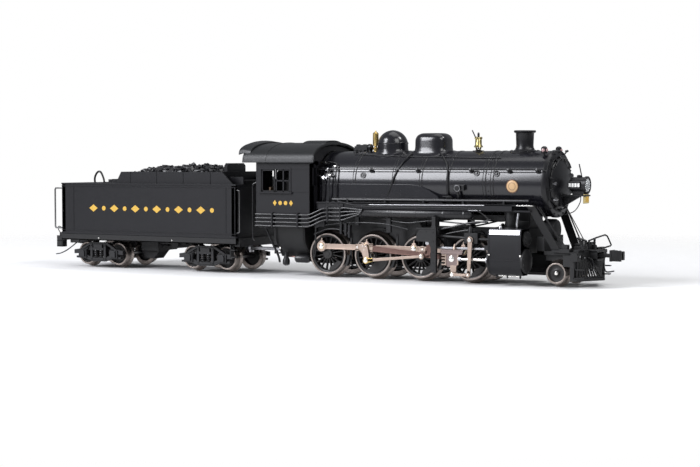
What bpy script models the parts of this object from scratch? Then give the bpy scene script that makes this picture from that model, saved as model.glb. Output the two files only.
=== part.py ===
"""N scale (1:160) model of a 2-8-0 steam locomotive with its tender.

Lengths are in millimetres and are scaled to metres when a mesh is made. Positions are measured
from the middle of the main driving axle (x forward), the track's centre line (y to the left) and
the top of the rails (z up); the whole model is then moved so that x = 0 is at its mid length.
"""

from math import asin, atan2, cos, hypot, pi, radians, sin, sqrt

import bmesh
import bpy
from mathutils import Matrix, Vector

MM = 0.001
MID_LENGTH_SHIFT = 15.75
RIGHT, LEFT = -1, 1
SIDE_NAME = {RIGHT: "right", LEFT: "left"}

# Running gear
DRIVER_X = (-10.45, 0.0, 10.6, 21.3)
DRIVER_RADIUS = 4.25
DRIVER_FLANGE = 0.55
DRIVER_SPOKES = 11
PONY_X, PONY_RADIUS = 39.05, 2.09
TENDER_RADIUS = 2.55
SMALL_FLANGE = 0.45
WHEEL_BACK, FLANGE_FRONT, WHEEL_FACE = 3.75, 4.3, 5.8
AXLE_RADIUS = 0.75
RUNNING_CLEARANCE = 0.08

# Cranks and rods, each in its own plane outwards from the wheel face
CRANK_THROW = 1.85
CRANK_ANGLE = {RIGHT: 125.0, LEFT: 35.0}
ECCENTRIC_THROW, ECCENTRIC_LEAD = 1.01, 120.5
SIDE_ROD_Y = (6.05, 6.5)
MAIN_ROD_Y = (6.75, 7.1)
ECCENTRIC_CRANK_Y = (7.16, 7.5)
ECCENTRIC_ROD_Y = (7.6, 7.95)
CROSSHEAD_Y = (7.2, 8.1)
LEVER_Y = (8.15, 8.45)
UNION_LINK_Y = (8.5, 8.8)
CRANK_PIN_RADIUS, SMALL_PIN_RADIUS = 0.42, 0.3
MAIN_ROD_LENGTH = 19.62
ECCENTRIC_ROD_LENGTH = 12.375
PISTON_Z, PISTON_Y = 4.25, 7.68
TRUNNION = (13.4, 7.2)
LINK_FOOT = (11.9, 4.5)
DROP_ARM_PIN = (0.46, 1.31)
LEVER_TOP = (22.6, 8.0)
LEVER_LENGTH = 6.7

# Boiler
BOILER_RADIUS, BOILER_Z = 6.27, 18.64
BOILER_REAR, BOILER_FRONT = -12.1, 35.7
BOILER_BORE, BORE_FRONT = 5.0, 24.0
BAND_X = (-3.0, 5.9, 16.9, 25.6)
BAND_RISE, BAND_WIDTH = 0.12, 0.5
BOILER_GAP = 0.16

# Cab
CAB_REAR, CAB_FRONT = -25.66, -12.42
CAB_HALF_WIDTH, CAB_WALL = 8.9, 0.5
CAB_FLOOR, CAB_EAVE = 9.8, 22.6
ROOF_REAR, ROOF_FRONT = -28.5, -11.6
ROOF_HALF_WIDTH, ROOF_EAVE, ROOF_TOP = 9.6, 22.8, 26.7

# Motor and worm drive
SHAFT_Z, GEAR_RADIUS, GEAR_TEETH = 8.6, 3.2, 20

# Tender
TANK_REAR, TANK_FRONT = -76.9, -30.55
TANK_HALF_WIDTH, TANK_BOTTOM, TANK_TOP = 9.3, 6.95, 17.98
BUNKER_TOP = 20.6
TRUCK_X = {"rear": -68.4, "front": -39.6}
TRUCK_HALF_WHEELBASE = 4.3
DRAWBAR_PINS = (-24.2, -33.2)
COUPLER_Z = 5.36
FRONT_PIVOT, REAR_PIVOT = 44.1, -77.0


# ---------------------------------------------------------------- shapes


def block(x, y, z):
    """A box from three (low, high) pairs."""
    x, y, z = sorted(x), sorted(y), sorted(z)
    verts = [(a, b, c) for a in x for b in y for c in z]
    faces = [(0, 1, 3, 2), (4, 6, 7, 5), (0, 4, 5, 1), (2, 3, 7, 6), (0, 2, 6, 4), (1, 5, 7, 3)]
    return verts, faces


def rings_to_solid(rings):
    """Joins rings of equal length into a closed tube with flat ends."""
    count = len(rings[0])
    verts = [point for ring in rings for point in ring]
    faces = [tuple(range(count))[::-1], tuple(range(len(verts) - count, len(verts)))]
    for r in range(len(rings) - 1):
        for i in range(count):
            j = (i + 1) % count
            faces.append((r * count + i, r * count + j, (r + 1) * count + j, (r + 1) * count + i))
    return verts, faces


def oriented(normal, u, v, w):
    """A point with coordinates u, v across the named axis and w along it."""
    return {"X": (w, u, v), "Y": (u, w, v), "Z": (u, v, w)}[normal]


def slab(outline, low, high, normal):
    """An outline of (u, v) points, extruded along the named axis."""
    return rings_to_solid([[oriented(normal, u, v, w) for u, v in outline] for w in (low, high)])


def turned(profile, centre, normal, sides):
    """A round body: (position, radius) pairs along the named axis through the centre (u, v)."""
    rings = []
    for along, radius in profile:
        ring = []
        for i in range(sides):
            turn = 2 * pi * (i + 0.5) / sides
            ring.append(oriented(normal, centre[0] + radius * cos(turn), centre[1] + radius * sin(turn),
                along))
        rings.append(ring)
    return rings_to_solid(rings)


def disc(centre, radius, low, high, normal="Y", sides=12):
    return turned([(low, radius), (high, radius)], centre, normal, sides)


def bar(start, end, radius, sides=8):
    """A straight round bar between two points."""
    return pipe([start, end], radius, sides)


def pipe(path, radius, sides=8):
    """A round pipe along a path, mitred at its corners."""
    points = [Vector(p) for p in path]
    steps = [(b - a).normalized() for a, b in zip(points, points[1:])]
    across = steps[0].orthogonal().normalized()
    rings = []
    for i, point in enumerate(points):
        before, after = steps[max(i - 1, 0)], steps[min(i, len(steps) - 1)]
        across = (across - before * across.dot(before)).normalized()
        other = before.cross(across)
        mitre = (before + after).normalized()
        ring = []
        for k in range(sides):
            turn = 2 * pi * k / sides
            offset = across * (radius * cos(turn)) + other * (radius * sin(turn))
            offset -= before * (offset.dot(mitre) / before.dot(mitre))
            ring.append(tuple(point + offset))
        rings.append(ring)
    return rings_to_solid(rings)


def capsule(start, end, start_radius, end_radius, sides=6):
    """The outline of two round ends joined by straight flanks."""
    angle = atan2(end[1] - start[1], end[0] - start[0])
    outline = []
    for centre, radius, first in ((end, end_radius, -pi / 2), (start, start_radius, pi / 2)):
        for i in range(sides + 1):
            turn = angle + first + pi * i / sides
            outline.append((centre[0] + radius * cos(turn), centre[1] + radius * sin(turn)))
    return outline


def strip(start, end, width):
    """The outline of a straight strip of the given width."""
    along = Vector((end[0] - start[0], end[1] - start[1])).normalized()
    side = Vector((-along.y, along.x)) * (width / 2)
    a, b = Vector(start), Vector(end)
    return [tuple(a - side), tuple(b - side), tuple(b + side), tuple(a + side)]


def mirrored(shapes):
    """The same shapes on the other side of the track's centre line."""
    return [([(x, -y, z) for x, y, z in verts], [tuple(reversed(face)) for face in faces]) for verts,
        faces in shapes]


def both_sides(shapes):
    return list(shapes) + mirrored(shapes)


# ---------------------------------------------------------------- objects


def make_material(name, colour, roughness, metallic):
    material = bpy.data.materials.new(name)
    material.use_nodes = True
    shader = material.node_tree.nodes["Principled BSDF"]
    shader.inputs["Base Color"].default_value = (*colour, 1.0)
    shader.inputs["Roughness"].default_value = roughness
    shader.inputs["Metallic"].default_value = metallic
    return material


def mesh_of(name, shapes, pivot):
    mesh = bpy.data.meshes.new(name)
    shell = bmesh.new()
    for verts, faces in shapes:
        made = [shell.verts.new((Vector(v) - pivot) * MM) for v in verts]
        for face in faces:
            shell.faces.new([made[i] for i in face])
    bmesh.ops.recalc_face_normals(shell, faces=shell.faces)
    shell.to_mesh(mesh)
    shell.free()
    return mesh


def boolean(obj, shapes, pivot, operation):
    """Adds the shapes to the object or cuts them from it, and keeps the result as its mesh."""
    tool = bpy.data.objects.new("tool", mesh_of("tool", shapes, pivot))
    tool.hide_render = True
    tool.display_type = "WIRE"
    bpy.context.scene.collection.objects.link(tool)
    modifier = obj.modifiers.new("boolean", "BOOLEAN")
    modifier.operation = operation
    modifier.solver = "EXACT"
    modifier.use_self = True
    modifier.object = tool
    graph = bpy.context.evaluated_depsgraph_get()
    result = bpy.data.meshes.new_from_object(obj.evaluated_get(graph))
    obj.modifiers.remove(modifier)
    obj.data = result
    bpy.data.objects.remove(tool)


def solid(name, material, add, cut=(), late=(), pivot=(0, 0, 0)):
    """One closed body: the shapes in add, less those in cut, with those in late joined on last.

    Its origin is at the pivot."""
    pivot = Vector(pivot)
    obj = bpy.data.objects.new(name, mesh_of(name, add[:1], pivot))
    bpy.context.scene.collection.objects.link(obj)
    if len(add) > 1:
        boolean(obj, add[1:], pivot, "UNION")
    if cut:
        boolean(obj, cut, pivot, "DIFFERENCE")
    if late:
        boolean(obj, late, pivot, "UNION")
    obj.data.name = name
    obj.data.materials.clear()
    obj.data.materials.append(material)
    obj.data.shade_smooth()
    obj.data.set_sharp_from_angle(angle=radians(35))
    obj.location = pivot * MM
    obj.parent = model


for old in list(bpy.data.objects):
    bpy.data.objects.remove(old, do_unlink=True)

model = bpy.data.objects.new("locomotive", None)
model.location.x = MID_LENGTH_SHIFT * MM
bpy.context.scene.collection.objects.link(model)

BOILER_BLACK = make_material("boiler_black", (0.012, 0.012, 0.014), 0.35, 0.0)
BODY_BLACK = make_material("body_black", (0.02, 0.02, 0.022), 0.5, 0.0)
FRAME_BLACK = make_material("frame_black", (0.015, 0.015, 0.015), 0.6, 0.0)
TYRE_STEEL = make_material("tyre_steel", (0.42, 0.38, 0.35), 0.3, 1.0)
ROD_STEEL = make_material("rod_steel", (0.5, 0.4, 0.34), 0.35, 1.0)
BRASS = make_material("brass", (0.8, 0.55, 0.15), 0.3, 1.0)
CLEAR = make_material("clear", (0.85, 0.87, 0.85), 0.1, 0.0)
COAL = make_material("coal", (0.01, 0.01, 0.011), 0.7, 0.0)


# ---------------------------------------------------------------- chassis


def frame_half(side):
    """Half of the split metal frame, slotted for the axles and hollowed for the worm drive."""
    inner, outer = side * 0.2, side * 3.2
    outline = [(-14.4, 3.0), (26.2, 3.0), (26.2, 11.6), (-14.4, 11.6)]
    slots = [block((x - 0.85, x + 0.85), (inner - side, outer + side), (2.0, 5.1)) for x in DRIVER_X]
    shaft = block((-15, 3.5), (inner - side, side * 0.6), (SHAFT_Z - 0.6, SHAFT_Z + 0.6))
    worm = block((-2.6, 2.6), (inner - side, side * 1.6), (SHAFT_Z - 1.6, SHAFT_Z + 1.7))
    gear = block((-3.6, 3.6), (inner - side, side * 0.95), (2.0, SHAFT_Z))
    flywheel = block((-13.6, -8.4), (inner - side, side * 2.6), (SHAFT_Z - 2.6, SHAFT_Z + 2.6))
    solid(
        f"frame_{SIDE_NAME[side]}",
        FRAME_BLACK,
        [slab(outline, inner, outer, "Y")],
        slots + [shaft, worm, gear, flywheel],
    )


def keeper_plate():
    """Plate under the axles, with a slot for the gear and a boss for the pony truck's screw."""
    plate = block((-14.4, 26.2), (-3.2, 3.2), (2.1, 2.8))
    boss = disc((24.6, 0.0), 0.6, 1.0, 2.2, "Z", 12)
    head = disc((24.6, 0.0), 1.0, 0.8, 1.15, "Z", 12)
    slot = block((-3.3, 3.3), (-0.95, 0.95), (1.5, 3.5))
    solid("keeper_plate", FRAME_BLACK, [plate, boss, head], [slot])


def boiler_shell():
    """Boiler, smokebox and firebox sides in one casting, open below over the frame."""
    profile = [(BOILER_REAR, BOILER_RADIUS)]
    for x in BAND_X:
        low, high = x - BAND_WIDTH / 2, x + BAND_WIDTH / 2
        rise = BOILER_RADIUS + BAND_RISE
        profile += [(low, BOILER_RADIUS), (low, rise), (high, rise), (high, BOILER_RADIUS)]
    profile.append((BOILER_FRONT, BOILER_RADIUS))
    shell = turned(profile, (0, BOILER_Z), "X", 30)
    firebox = block((BOILER_REAR, 11.5), (-6.15, 6.15), (12.3, BOILER_Z))
    bore = turned([(BOILER_REAR + 1.2, BOILER_BORE), (BORE_FRONT, BOILER_BORE)], (0, BOILER_Z), "X", 16)
    opening = block((BOILER_REAR + 1.2, 11.0), (-4.2, 4.2), (10.0, BOILER_Z))
    slot = block((10.5, BORE_FRONT), (-2.6, 2.6), (10.0, BOILER_Z))
    solid("boiler_shell", BOILER_BLACK, [shell, firebox], [bore, opening, slot])


def smokebox_front():
    """Front ring, dished plate and round door."""
    profile = [(35.75, 6.3), (36.5, 6.3), (36.7, 5.9), (36.7, 5.2), (37.3, 4.6), (37.8, 1.6)]
    solid("smokebox_front", BODY_BLACK, [turned(profile, (0, BOILER_Z), "X", 28)])


def boiler_saddle_cut(low, high):
    """The boiler's own round, a little larger, to seat a fitting on it."""
    return turned([(low, BOILER_RADIUS + BOILER_GAP), (high, BOILER_RADIUS + BOILER_GAP)], (0, BOILER_Z),
        "X", 32)


def upright(centre_x, profile, sides=16):
    """A round fitting standing on the boiler's centre line: (height, radius) pairs."""
    return turned(profile, (centre_x, 0), "Z", sides)


def smokestack():
    profile = [(22.6, 2.9), (24.55, 2.75), (24.9, 2.1), (25.5, 1.62), (28.3, 1.68), (28.45, 1.95),
        (28.8, 2.0)]
    flue = disc((30.1, 0.0), 1.3, 26.0, 30.0, "Z", 16)
    solid("smokestack", BODY_BLACK, [upright(30.1, profile)], [flue, boiler_saddle_cut(25, 35)])


def steam_dome():
    profile = [(22.8, 4.0), (24.3, 3.75), (24.75, 3.2), (25.3, 3.07), (26.1, 3.07)]
    for i in range(1, 6):
        turn = pi / 2 * i / 5.6
        profile.append((26.1 + 3.07 * sin(turn), 3.07 * cos(turn)))
    solid("steam_dome", BOILER_BLACK, [upright(1.35, profile)], [boiler_saddle_cut(-4, 7)])


def oval(length, width, z, centre_x, sides=20):
    """A rounded rectangle in plan, at one height."""
    ring = []
    for i in range(sides):
        turn = 2 * pi * (i + 0.5) / sides
        c, s = cos(turn), sin(turn)
        squareness = 0.62
        ring.append((
            centre_x + length / 2 * abs(c) ** squareness * (1 if c > 0 else -1),
            width / 2 * abs(s) ** squareness * (1 if s > 0 else -1),
            z,
        ))
    return ring


def around_boiler(x, radius, angles):
    """Points round the boiler at one length, at angles up from its right side."""
    return [(x, -radius * cos(radians(a)), BOILER_Z + radius * sin(radians(a))) for a in angles]


def sand_dome():
    centre, length, width = 10.6, 6.9, 5.9
    rings = [oval(length * k, width * k, z, centre) for z, k in (
        (22.4, 1.18), (24.3, 1.14), (25.2, 1.0), (27.2, 0.99), (27.95, 0.92), (28.42, 0.68))]
    pipe_radius = 0.2
    path = BOILER_RADIUS + 0.25
    front = [around_boiler(x, path, [a])[0] for x,
        a in ((13.6, 66), (14.4, 50), (16.2, 30), (16.4, 5), (16.4, -20))]
    rear = [around_boiler(x, path, [a])[0] for x, a in ((8.3, 72), (6.0, 50), (4.2, 30), (2.2, 8))]
    pipes = both_sides([pipe(front, pipe_radius, 5), pipe(rear, pipe_radius, 5)])
    solid("sand_dome", BOILER_BLACK, [rings_to_solid(rings)] + pipes, [boiler_saddle_cut(-2, 20)])


def bell():
    """Bell hung in its bracket."""
    x = 20.3
    feet = slab([(-1.25, 24.0), (1.25, 24.0), (0.9, 25.4), (-0.9, 25.4)], x - 0.5, x + 0.5, "X")
    arms = [bar((x, side * 0.85, 25.0), (x, side * 1.25, 27.6), 0.17, 6) for side in (RIGHT, LEFT)]
    yoke = bar((x, -1.35, 27.6), (x, 1.35, 27.6), 0.2, 8)
    cup = upright(x, [(25.75, 1.0), (26.0, 0.82), (26.9, 0.6), (27.5, 0.35), (28.5, 0.12)], 14)
    solid("bell", BRASS, [feet, yoke, cup] + arms, [boiler_saddle_cut(18, 23)])


def whistle():
    profile = [(24.7, 0.3), (25.6, 0.3), (25.7, 0.5), (25.9, 0.5), (26.0, 0.3), (26.1, 0.52), (28.6, 0.52),
        (28.9, 0.2)]
    solid("whistle", BRASS, [upright(-2.6, profile, 12)], [boiler_saddle_cut(-4, -1)])


def safety_valves():
    """Turret block with two spring-loaded valves."""
    body = block((-7.4, -4.0), (-1.5, 1.5), (24.0, 25.6))
    valves = [upright(x, [(25.2, 0.55), (26.0, 0.55), (26.1, 0.35), (26.5, 0.35)], 10)
        for x in (-6.6, -4.8)]
    solid("safety_valves", FRAME_BLACK, [body] + valves, [boiler_saddle_cut(-9, -2)])


def roof_arc(half_width, eave, top, count=16):
    """The roof's round from one eave over the top to the other."""
    arc = []
    for i in range(count + 1):
        turn = pi * i / count
        arc.append((-half_width * cos(turn), eave + (top - eave) * sin(turn) ** 0.8))
    return arc


def window_openings():
    """One clear opening and four small panes in each side wall."""
    openings = [block((-24.3, -20.9), (-10, 10), (16.7, 21.2))]
    for x in ((-20.5, -19.2), (-18.9, -17.6)):
        for z in ((16.7, 18.75), (19.05, 21.2)):
            openings.append(block(x, (-10, 10), z))
    return openings


def cab_shell():
    """Cab walls and floor, open at the back."""
    inner = CAB_HALF_WIDTH - CAB_WALL
    top = roof_arc(CAB_HALF_WIDTH, CAB_EAVE, ROOF_TOP - 0.75)
    outline = [(-CAB_HALF_WIDTH, CAB_FLOOR)] + top + [(CAB_HALF_WIDTH, CAB_FLOOR)]
    front = slab(outline, CAB_FRONT - CAB_WALL, CAB_FRONT, "X")
    walls = both_sides([block((CAB_REAR, CAB_FRONT), (inner, CAB_HALF_WIDTH), (CAB_FLOOR, CAB_EAVE))])
    floor = block((CAB_REAR, CAB_FRONT), (-CAB_HALF_WIDTH, CAB_HALF_WIDTH), (12.45, 12.95))
    sills = both_sides([block((-24.6, -17.3), (inner, CAB_HALF_WIDTH + 0.3), (16.3, 16.6))])
    front_windows = both_sides([block((-14, -11), (6.9, 8.0), (18.2, 21.6))])
    frame_way = block((-14.9, -11), (-4.4, 4.4), (9, 13.5))
    boiler_way = turned([(-14, BOILER_RADIUS + 0.1), (-11, BOILER_RADIUS + 0.1)], (0, BOILER_Z), "X", 32)
    firebox_way = block((-14, -11), (-6.3, 6.3), (12.0, BOILER_Z))
    cuts = [frame_way, boiler_way, firebox_way] + window_openings() + front_windows
    solid("cab_shell", BODY_BLACK, [front, floor] + walls + sills, cuts)


def cab_roof():
    """Arched roof with a hatch and a raised visor over the tender end."""
    def arch(rear, front, rise, thickness):
        outer = roof_arc(ROOF_HALF_WIDTH, ROOF_EAVE + rise, ROOF_TOP + rise)
        inner = roof_arc(ROOF_HALF_WIDTH - thickness, ROOF_EAVE + rise, ROOF_TOP + rise - thickness)
        return slab(outer + inner[::-1], rear, front, "X")

    roof = arch(ROOF_REAR, ROOF_FRONT, 0.0, 0.5)
    visor_outer = roof_arc(6.6, 24.6, 27.3)
    visor_inner = roof_arc(6.3, 24.4, 26.3)
    visor = slab(visor_outer + visor_inner[::-1], -30.2, -27.3, "X")
    hatch = slab(roof_arc(3.4, 26.0, 27.05, 8), -17.7, -12.6, "X")
    solid("cab_roof", BODY_BLACK, [roof, visor, hatch])


def backhead():
    """Boiler's end in the cab, with a fire door and gauges."""
    plate = turned([(-14.6, 5.2), (-14.3, 5.6), (-13.1, 5.6)], (0, BOILER_Z), "X", 20)
    door = disc((0, 16.6), 1.3, -15.0, -14.2, "X", 12)
    gauges = [disc((y, 21.6), 0.6, -15.0, -14.2, "X", 8) for y in (-1.2, 1.2)]
    solid("backhead", FRAME_BLACK, [plate, door] + gauges)


def ashpan():
    """Ashpan round the motor, with the pin that holds the drawbar."""
    outline = [(-3.9, 3.3), (-6.2, 6.6), (-6.2, 9.7), (-6.6, 9.7), (-6.6, 12.35)]
    outline += [(-y, z) for y, z in reversed(outline)]
    outer = slab(outline, -22.6, -15.6, "X")
    hollow = block((-21.9, -14.0), (-3.7, 3.7), (4.4, 14.0))
    tail = block((-25.4, -22.3), (-2.6, 2.6), (5.5, 12.35))
    pin = disc((DRAWBAR_PINS[0], 0), 0.5, 3.6, 5.6, "Z", 12)
    head = disc((DRAWBAR_PINS[0], 0), 0.9, 3.4, 3.8, "Z", 12)
    solid("ashpan", FRAME_BLACK, [outer, tail, pin, head], [hollow])


def headlight():
    """Headlight housing on its bracket, with side lamps' boards and a small plate below."""
    case = turned([(39.8, 1.1), (40.2, 1.5), (43.3, 1.6)], (0, 18.45), "X", 14)
    recess = disc((0, 18.45), 1.25, 42.6, 44.0, "X", 12)
    bracket = block((38.0, 43.0), (-1.1, 1.1), (16.3, 16.7))
    post = block((40.6, 42.2), (-0.8, 0.8), (16.5, 17.5))
    stay = bar((37.6, 0, 14.6), (42.2, 0, 16.5), 0.25, 6)
    boards = both_sides([slab([(40.4, 17.4), (42.6, 17.4), (42.6, 19.4), (40.4, 19.4)], -1.9, -1.3, "Y")])
    plate = block((42.0, 42.9), (-1.0, 1.0), (14.9, 16.4))
    foot = block((37.95, 38.6), (-1.4, 1.4), (14.2, 17.6))
    solid("headlight", FRAME_BLACK, [case, bracket, post, stay, plate, foot] + boards, [recess])


def headlight_lens():
    solid("headlight_lens", CLEAR, [turned([(42.65, 1.15), (43.1, 1.15), (43.3, 0.7)], (0, 18.45), "X",
        12)])


def running_board(side):
    """Footboard with its edge, the pipes under the cab and the air tank below."""
    board = block((-11.9, 35.6), (side * 6.35, side * 7.9), (14.6, 14.95))
    edge = block((-3.3, 35.6), (side * 7.55, side * 7.9), (13.2, 14.95))
    fillet = block((-11.9, -3.3), (side * 6.35, side * 7.9), (13.5, 14.95))
    tank = turned([(-1.6, 0.5), (-1.3, 0.95), (9.4, 0.95), (9.7, 0.5)], (side * 7.25, 12.4), "X", 12)
    hangers = [block((x - 0.25, x + 0.25), (side * 6.9, side * 7.6), (12.5, 14.8)) for x in (0.2, 7.9)]
    pipes = []
    for k in range(4):
        z, y = 10.3 + 0.72 * k, side * (9.35 - 0.02 * k)
        path = [(-25.6, y, z), (-13.4 + 0.4 * k, y, z), (-9.6, y - side * 0.9, z + 1.9),
            (-5.4, y - side * 1.4, z + 2.0)]
        pipes.append(pipe(path, 0.2, 5))
    brackets = [block((x - 0.2, x + 0.2), (side * 9.05, side * 9.45), (10.1, 12.8)) for x in (-21.5, -15.6)]
    post = block((-8.4, -7.6), (side * 7.2, side * 8.6), (11.6, 14.9))
    solid(
        f"running_board_{SIDE_NAME[side]}",
        BODY_BLACK,
        [board, edge, fillet, tank, post] + hangers + pipes + brackets,
    )


def pilot():
    """Front deck, beam with the coupler's pocket, slatted pilot and its braces."""
    deck = block((34.9, 43.1), (-4.6, 4.6), (5.3, 6.2))
    neck = block((34.9, 36.4), (-4.6, 4.6), (5.3, 9.0))
    beam = block((42.9, 44.1), (-7.7, 7.7), (4.5, 6.0))
    back, nose = (43.3, 6.5), (46.6, 0.0)
    rim_outer = [(back[0], -back[1]), nose, (back[0], back[1])]
    rim_inner = [(back[0] - 0.7, back[1] - 0.5), (nose[0] - 1.2, 0.0), (back[0] - 0.7, -back[1] + 0.5)]
    rim = slab(rim_outer + rim_inner, 0.75, 1.35, "Z")
    slats = []
    for side in (RIGHT, LEFT):
        for k in range(6):
            share = (k + 0.4) / 6
            foot = (nose[0] + (back[0] - nose[0]) * share - 0.45, side * back[1] * share, 1.0)
            top = (43.6, side * back[1] * share * 1.02, 4.8)
            slats.append(bar(foot, top, 0.27, 4))
    handrail = both_sides([pipe([(43.3, 7.2, 5.9), (43.3, 7.2, 8.2), (43.3, 3.0, 8.2), (43.3, 3.0, 5.9)],
        0.15, 4)])
    top = [(34.0, 6.75, 14.4), (35.4, 6.75, 14.4), (35.4, 7.2, 14.4), (34.0, 7.2, 14.4)]
    foot = [(39.5, 4.0, 6.0), (40.9, 4.0, 6.0), (40.9, 4.45, 6.0), (39.5, 4.45, 6.0)]
    strut = both_sides([rings_to_solid([top, foot])])
    rod = both_sides([bar((36.3, 6.1, 14.2), (42.2, 4.2, 6.0), 0.14, 4)])
    tank = turned([(34.9, 2.2), (36.5, 2.2), (37.0, 1.4)], (0, 9.9), "X", 14)
    pocket = block((42.5, 46.2), (-1.6, 1.6), (4.75, 5.95))
    cheeks = [block((42.5, 45.8), (-1.9, 1.9), z) for z in ((4.35, 4.75), (5.95, 6.35))]
    solid("pilot", BODY_BLACK, [deck, neck, beam, rim, tank] + cheeks + slats + handrail + strut + rod,
        [pocket])


def cylinder_block():
    """Both cylinders with their valve chests and the smokebox saddle, bored for the piston rods."""
    back, front = 26.6, 33.4
    half = [(4.9, 10.2), (8.3, 10.2), (8.8, 9.6), (8.8, 3.4), (8.3, 2.2), (7.4, 1.6), (6.2, 1.6),
        (5.3, 2.2), (4.9, 3.2)]
    chests = both_sides([slab(half, back, front, "X")])
    middle = block((back, front), (-5.0, 5.0), (5.6, 10.2))
    saddle = slab([(-3.6, 10.0), (3.6, 10.0), (3.0, 13.4), (-3.0, 13.4)], 27.4, 32.8, "X")
    heads = both_sides([
        turned([(33.2, 2.1), (33.9, 2.1), (34.1, 1.8), (34.6, 0.9)], (6.55, 4.1), "X", 14),
        turned([(33.2, 1.5), (34.0, 1.3)], (6.7, 8.0), "X", 12),
        disc((PISTON_Y, PISTON_Z), 0.75, 25.9, 26.8, "X", 10),
        pipe([(30.0, 5.4, 10.0), (30.0, 5.4, 13.4), (30.0, 5.0, 15.4)], 0.75, 8),
    ])
    bores = both_sides([disc((PISTON_Y, PISTON_Z), 0.38, 25.0, 32.6, "X", 8)])
    solid("cylinder_block", BODY_BLACK, [middle, saddle] + chests + heads,
        bores + [boiler_saddle_cut(25, 34)])


def guide_yoke():
    """Yoke across the frame with the legs, link brackets, guide bars and valve-stem guides."""
    bridge = block((14.6, 15.4), (-8.8, 8.8), (11.75, 12.25))
    parts = []
    for side in (RIGHT, LEFT):
        y = (side * 8.12, side * 8.8)
        parts.append(block((14.6, 15.4), (side * 3.4, side * 8.8), (7.6, 12.25)))
        parts.append(block((13.6, 15.4), y, (1.6, 10.0)))
        parts.append(block((11.1, 15.4), y, (7.6, 10.0)))
        parts.append(block((14.6, 26.5), (side * 7.25, side * 7.6), (6.1, 6.6)))
        parts.append(block((14.6, 15.4), (side * 7.25, side * 8.8), (6.1, 8.0)))
        parts.append(block((21.2, 24.0), (side * 6.6, side * 8.05), (7.3, 9.2)))
        parts.append(block((23.2, 26.5), (side * 7.2, side * 7.7), (7.8, 8.6)))
        parts.append(block((15.2, 21.5), (side * 7.1, side * 7.5), (8.2, 9.0)))
        parts.append(disc((LEVER_TOP[0], LEVER_TOP[1]), 0.25, side * 8.0, side * 8.6, "Y", 10))
        parts.append(disc((LEVER_TOP[0], LEVER_TOP[1]), 0.45, side * 8.52, side * 8.7, "Y", 12))
    solid("guide_yoke", BODY_BLACK, [bridge] + parts)


# ---------------------------------------------------------------- drive


def worm_thread(start, turns, pitch, root, tip):
    """A helical ridge round the motor shaft."""
    sides = 8
    rings = []
    for i in range(int(turns * sides) + 1):
        turn = 2 * pi * i / sides
        x = start + pitch * i / sides
        ring = []
        for dx, r in ((-0.22, root), (-0.07, tip), (0.07, tip), (0.22, root)):
            ring.append((x + dx, r * sin(turn), SHAFT_Z + r * cos(turn)))
        rings.append(ring)
    return rings_to_solid(rings)


def worm_pitch():
    return 2 * pi * GEAR_RADIUS / GEAR_TEETH


def motor():
    """Can motor with its bearing boss, open for the shaft."""
    can = turned([(-21.6, 3.2), (-15.9, 3.2)], (0, SHAFT_Z), "X", 24)
    flats = both_sides([block((-23, -14), (3.3, 4.5), (4, 13))])
    boss = disc((0, SHAFT_Z), 0.9, -15.9, -15.4, "X", 14)
    way = disc((0, SHAFT_Z), 0.5, -19.0, -15.0, "X", 12)
    solid("motor", TYRE_STEEL, [can, boss], flats + [way])


def motor_shaft():
    """Armature shaft with its flywheel and worm."""
    root = 0.72
    profile = [(-18.8, 0.4), (-13.2, 0.4), (-13.2, 2.2), (-8.9, 2.2), (-8.9, 0.4), (-2.2, 0.4),
        (-2.2, root), (2.2, root)]
    shaft = turned(profile, (0, SHAFT_Z), "X", 16)
    pitch = worm_pitch()
    thread = worm_thread(-1.5 * pitch, 3.0, pitch, root - 0.1, 1.1)
    solid("motor_shaft", BRASS, [shaft, thread], pivot=(0, 0, SHAFT_Z))


def gear_outline(teeth, root, tip, centre):
    """A toothed wheel's outline with straight-sided teeth and a gap at the top."""
    outline = []
    for i in range(teeth):
        middle = pi / 2 + 2 * pi * (i + 0.5) / teeth
        pitch = 2 * pi / teeth
        for share, radius in ((-0.26, root), (-0.12, tip), (0.12, tip), (0.26, root)):
            turn = middle + pitch * share
            outline.append((centre[0] + radius * cos(turn), centre[1] + radius * sin(turn)))
    return outline


# ---------------------------------------------------------------- wheels


def crank_point(x, side, throw, angle):
    return (x + throw * cos(radians(angle)), DRIVER_RADIUS + throw * sin(radians(angle)))


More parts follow.
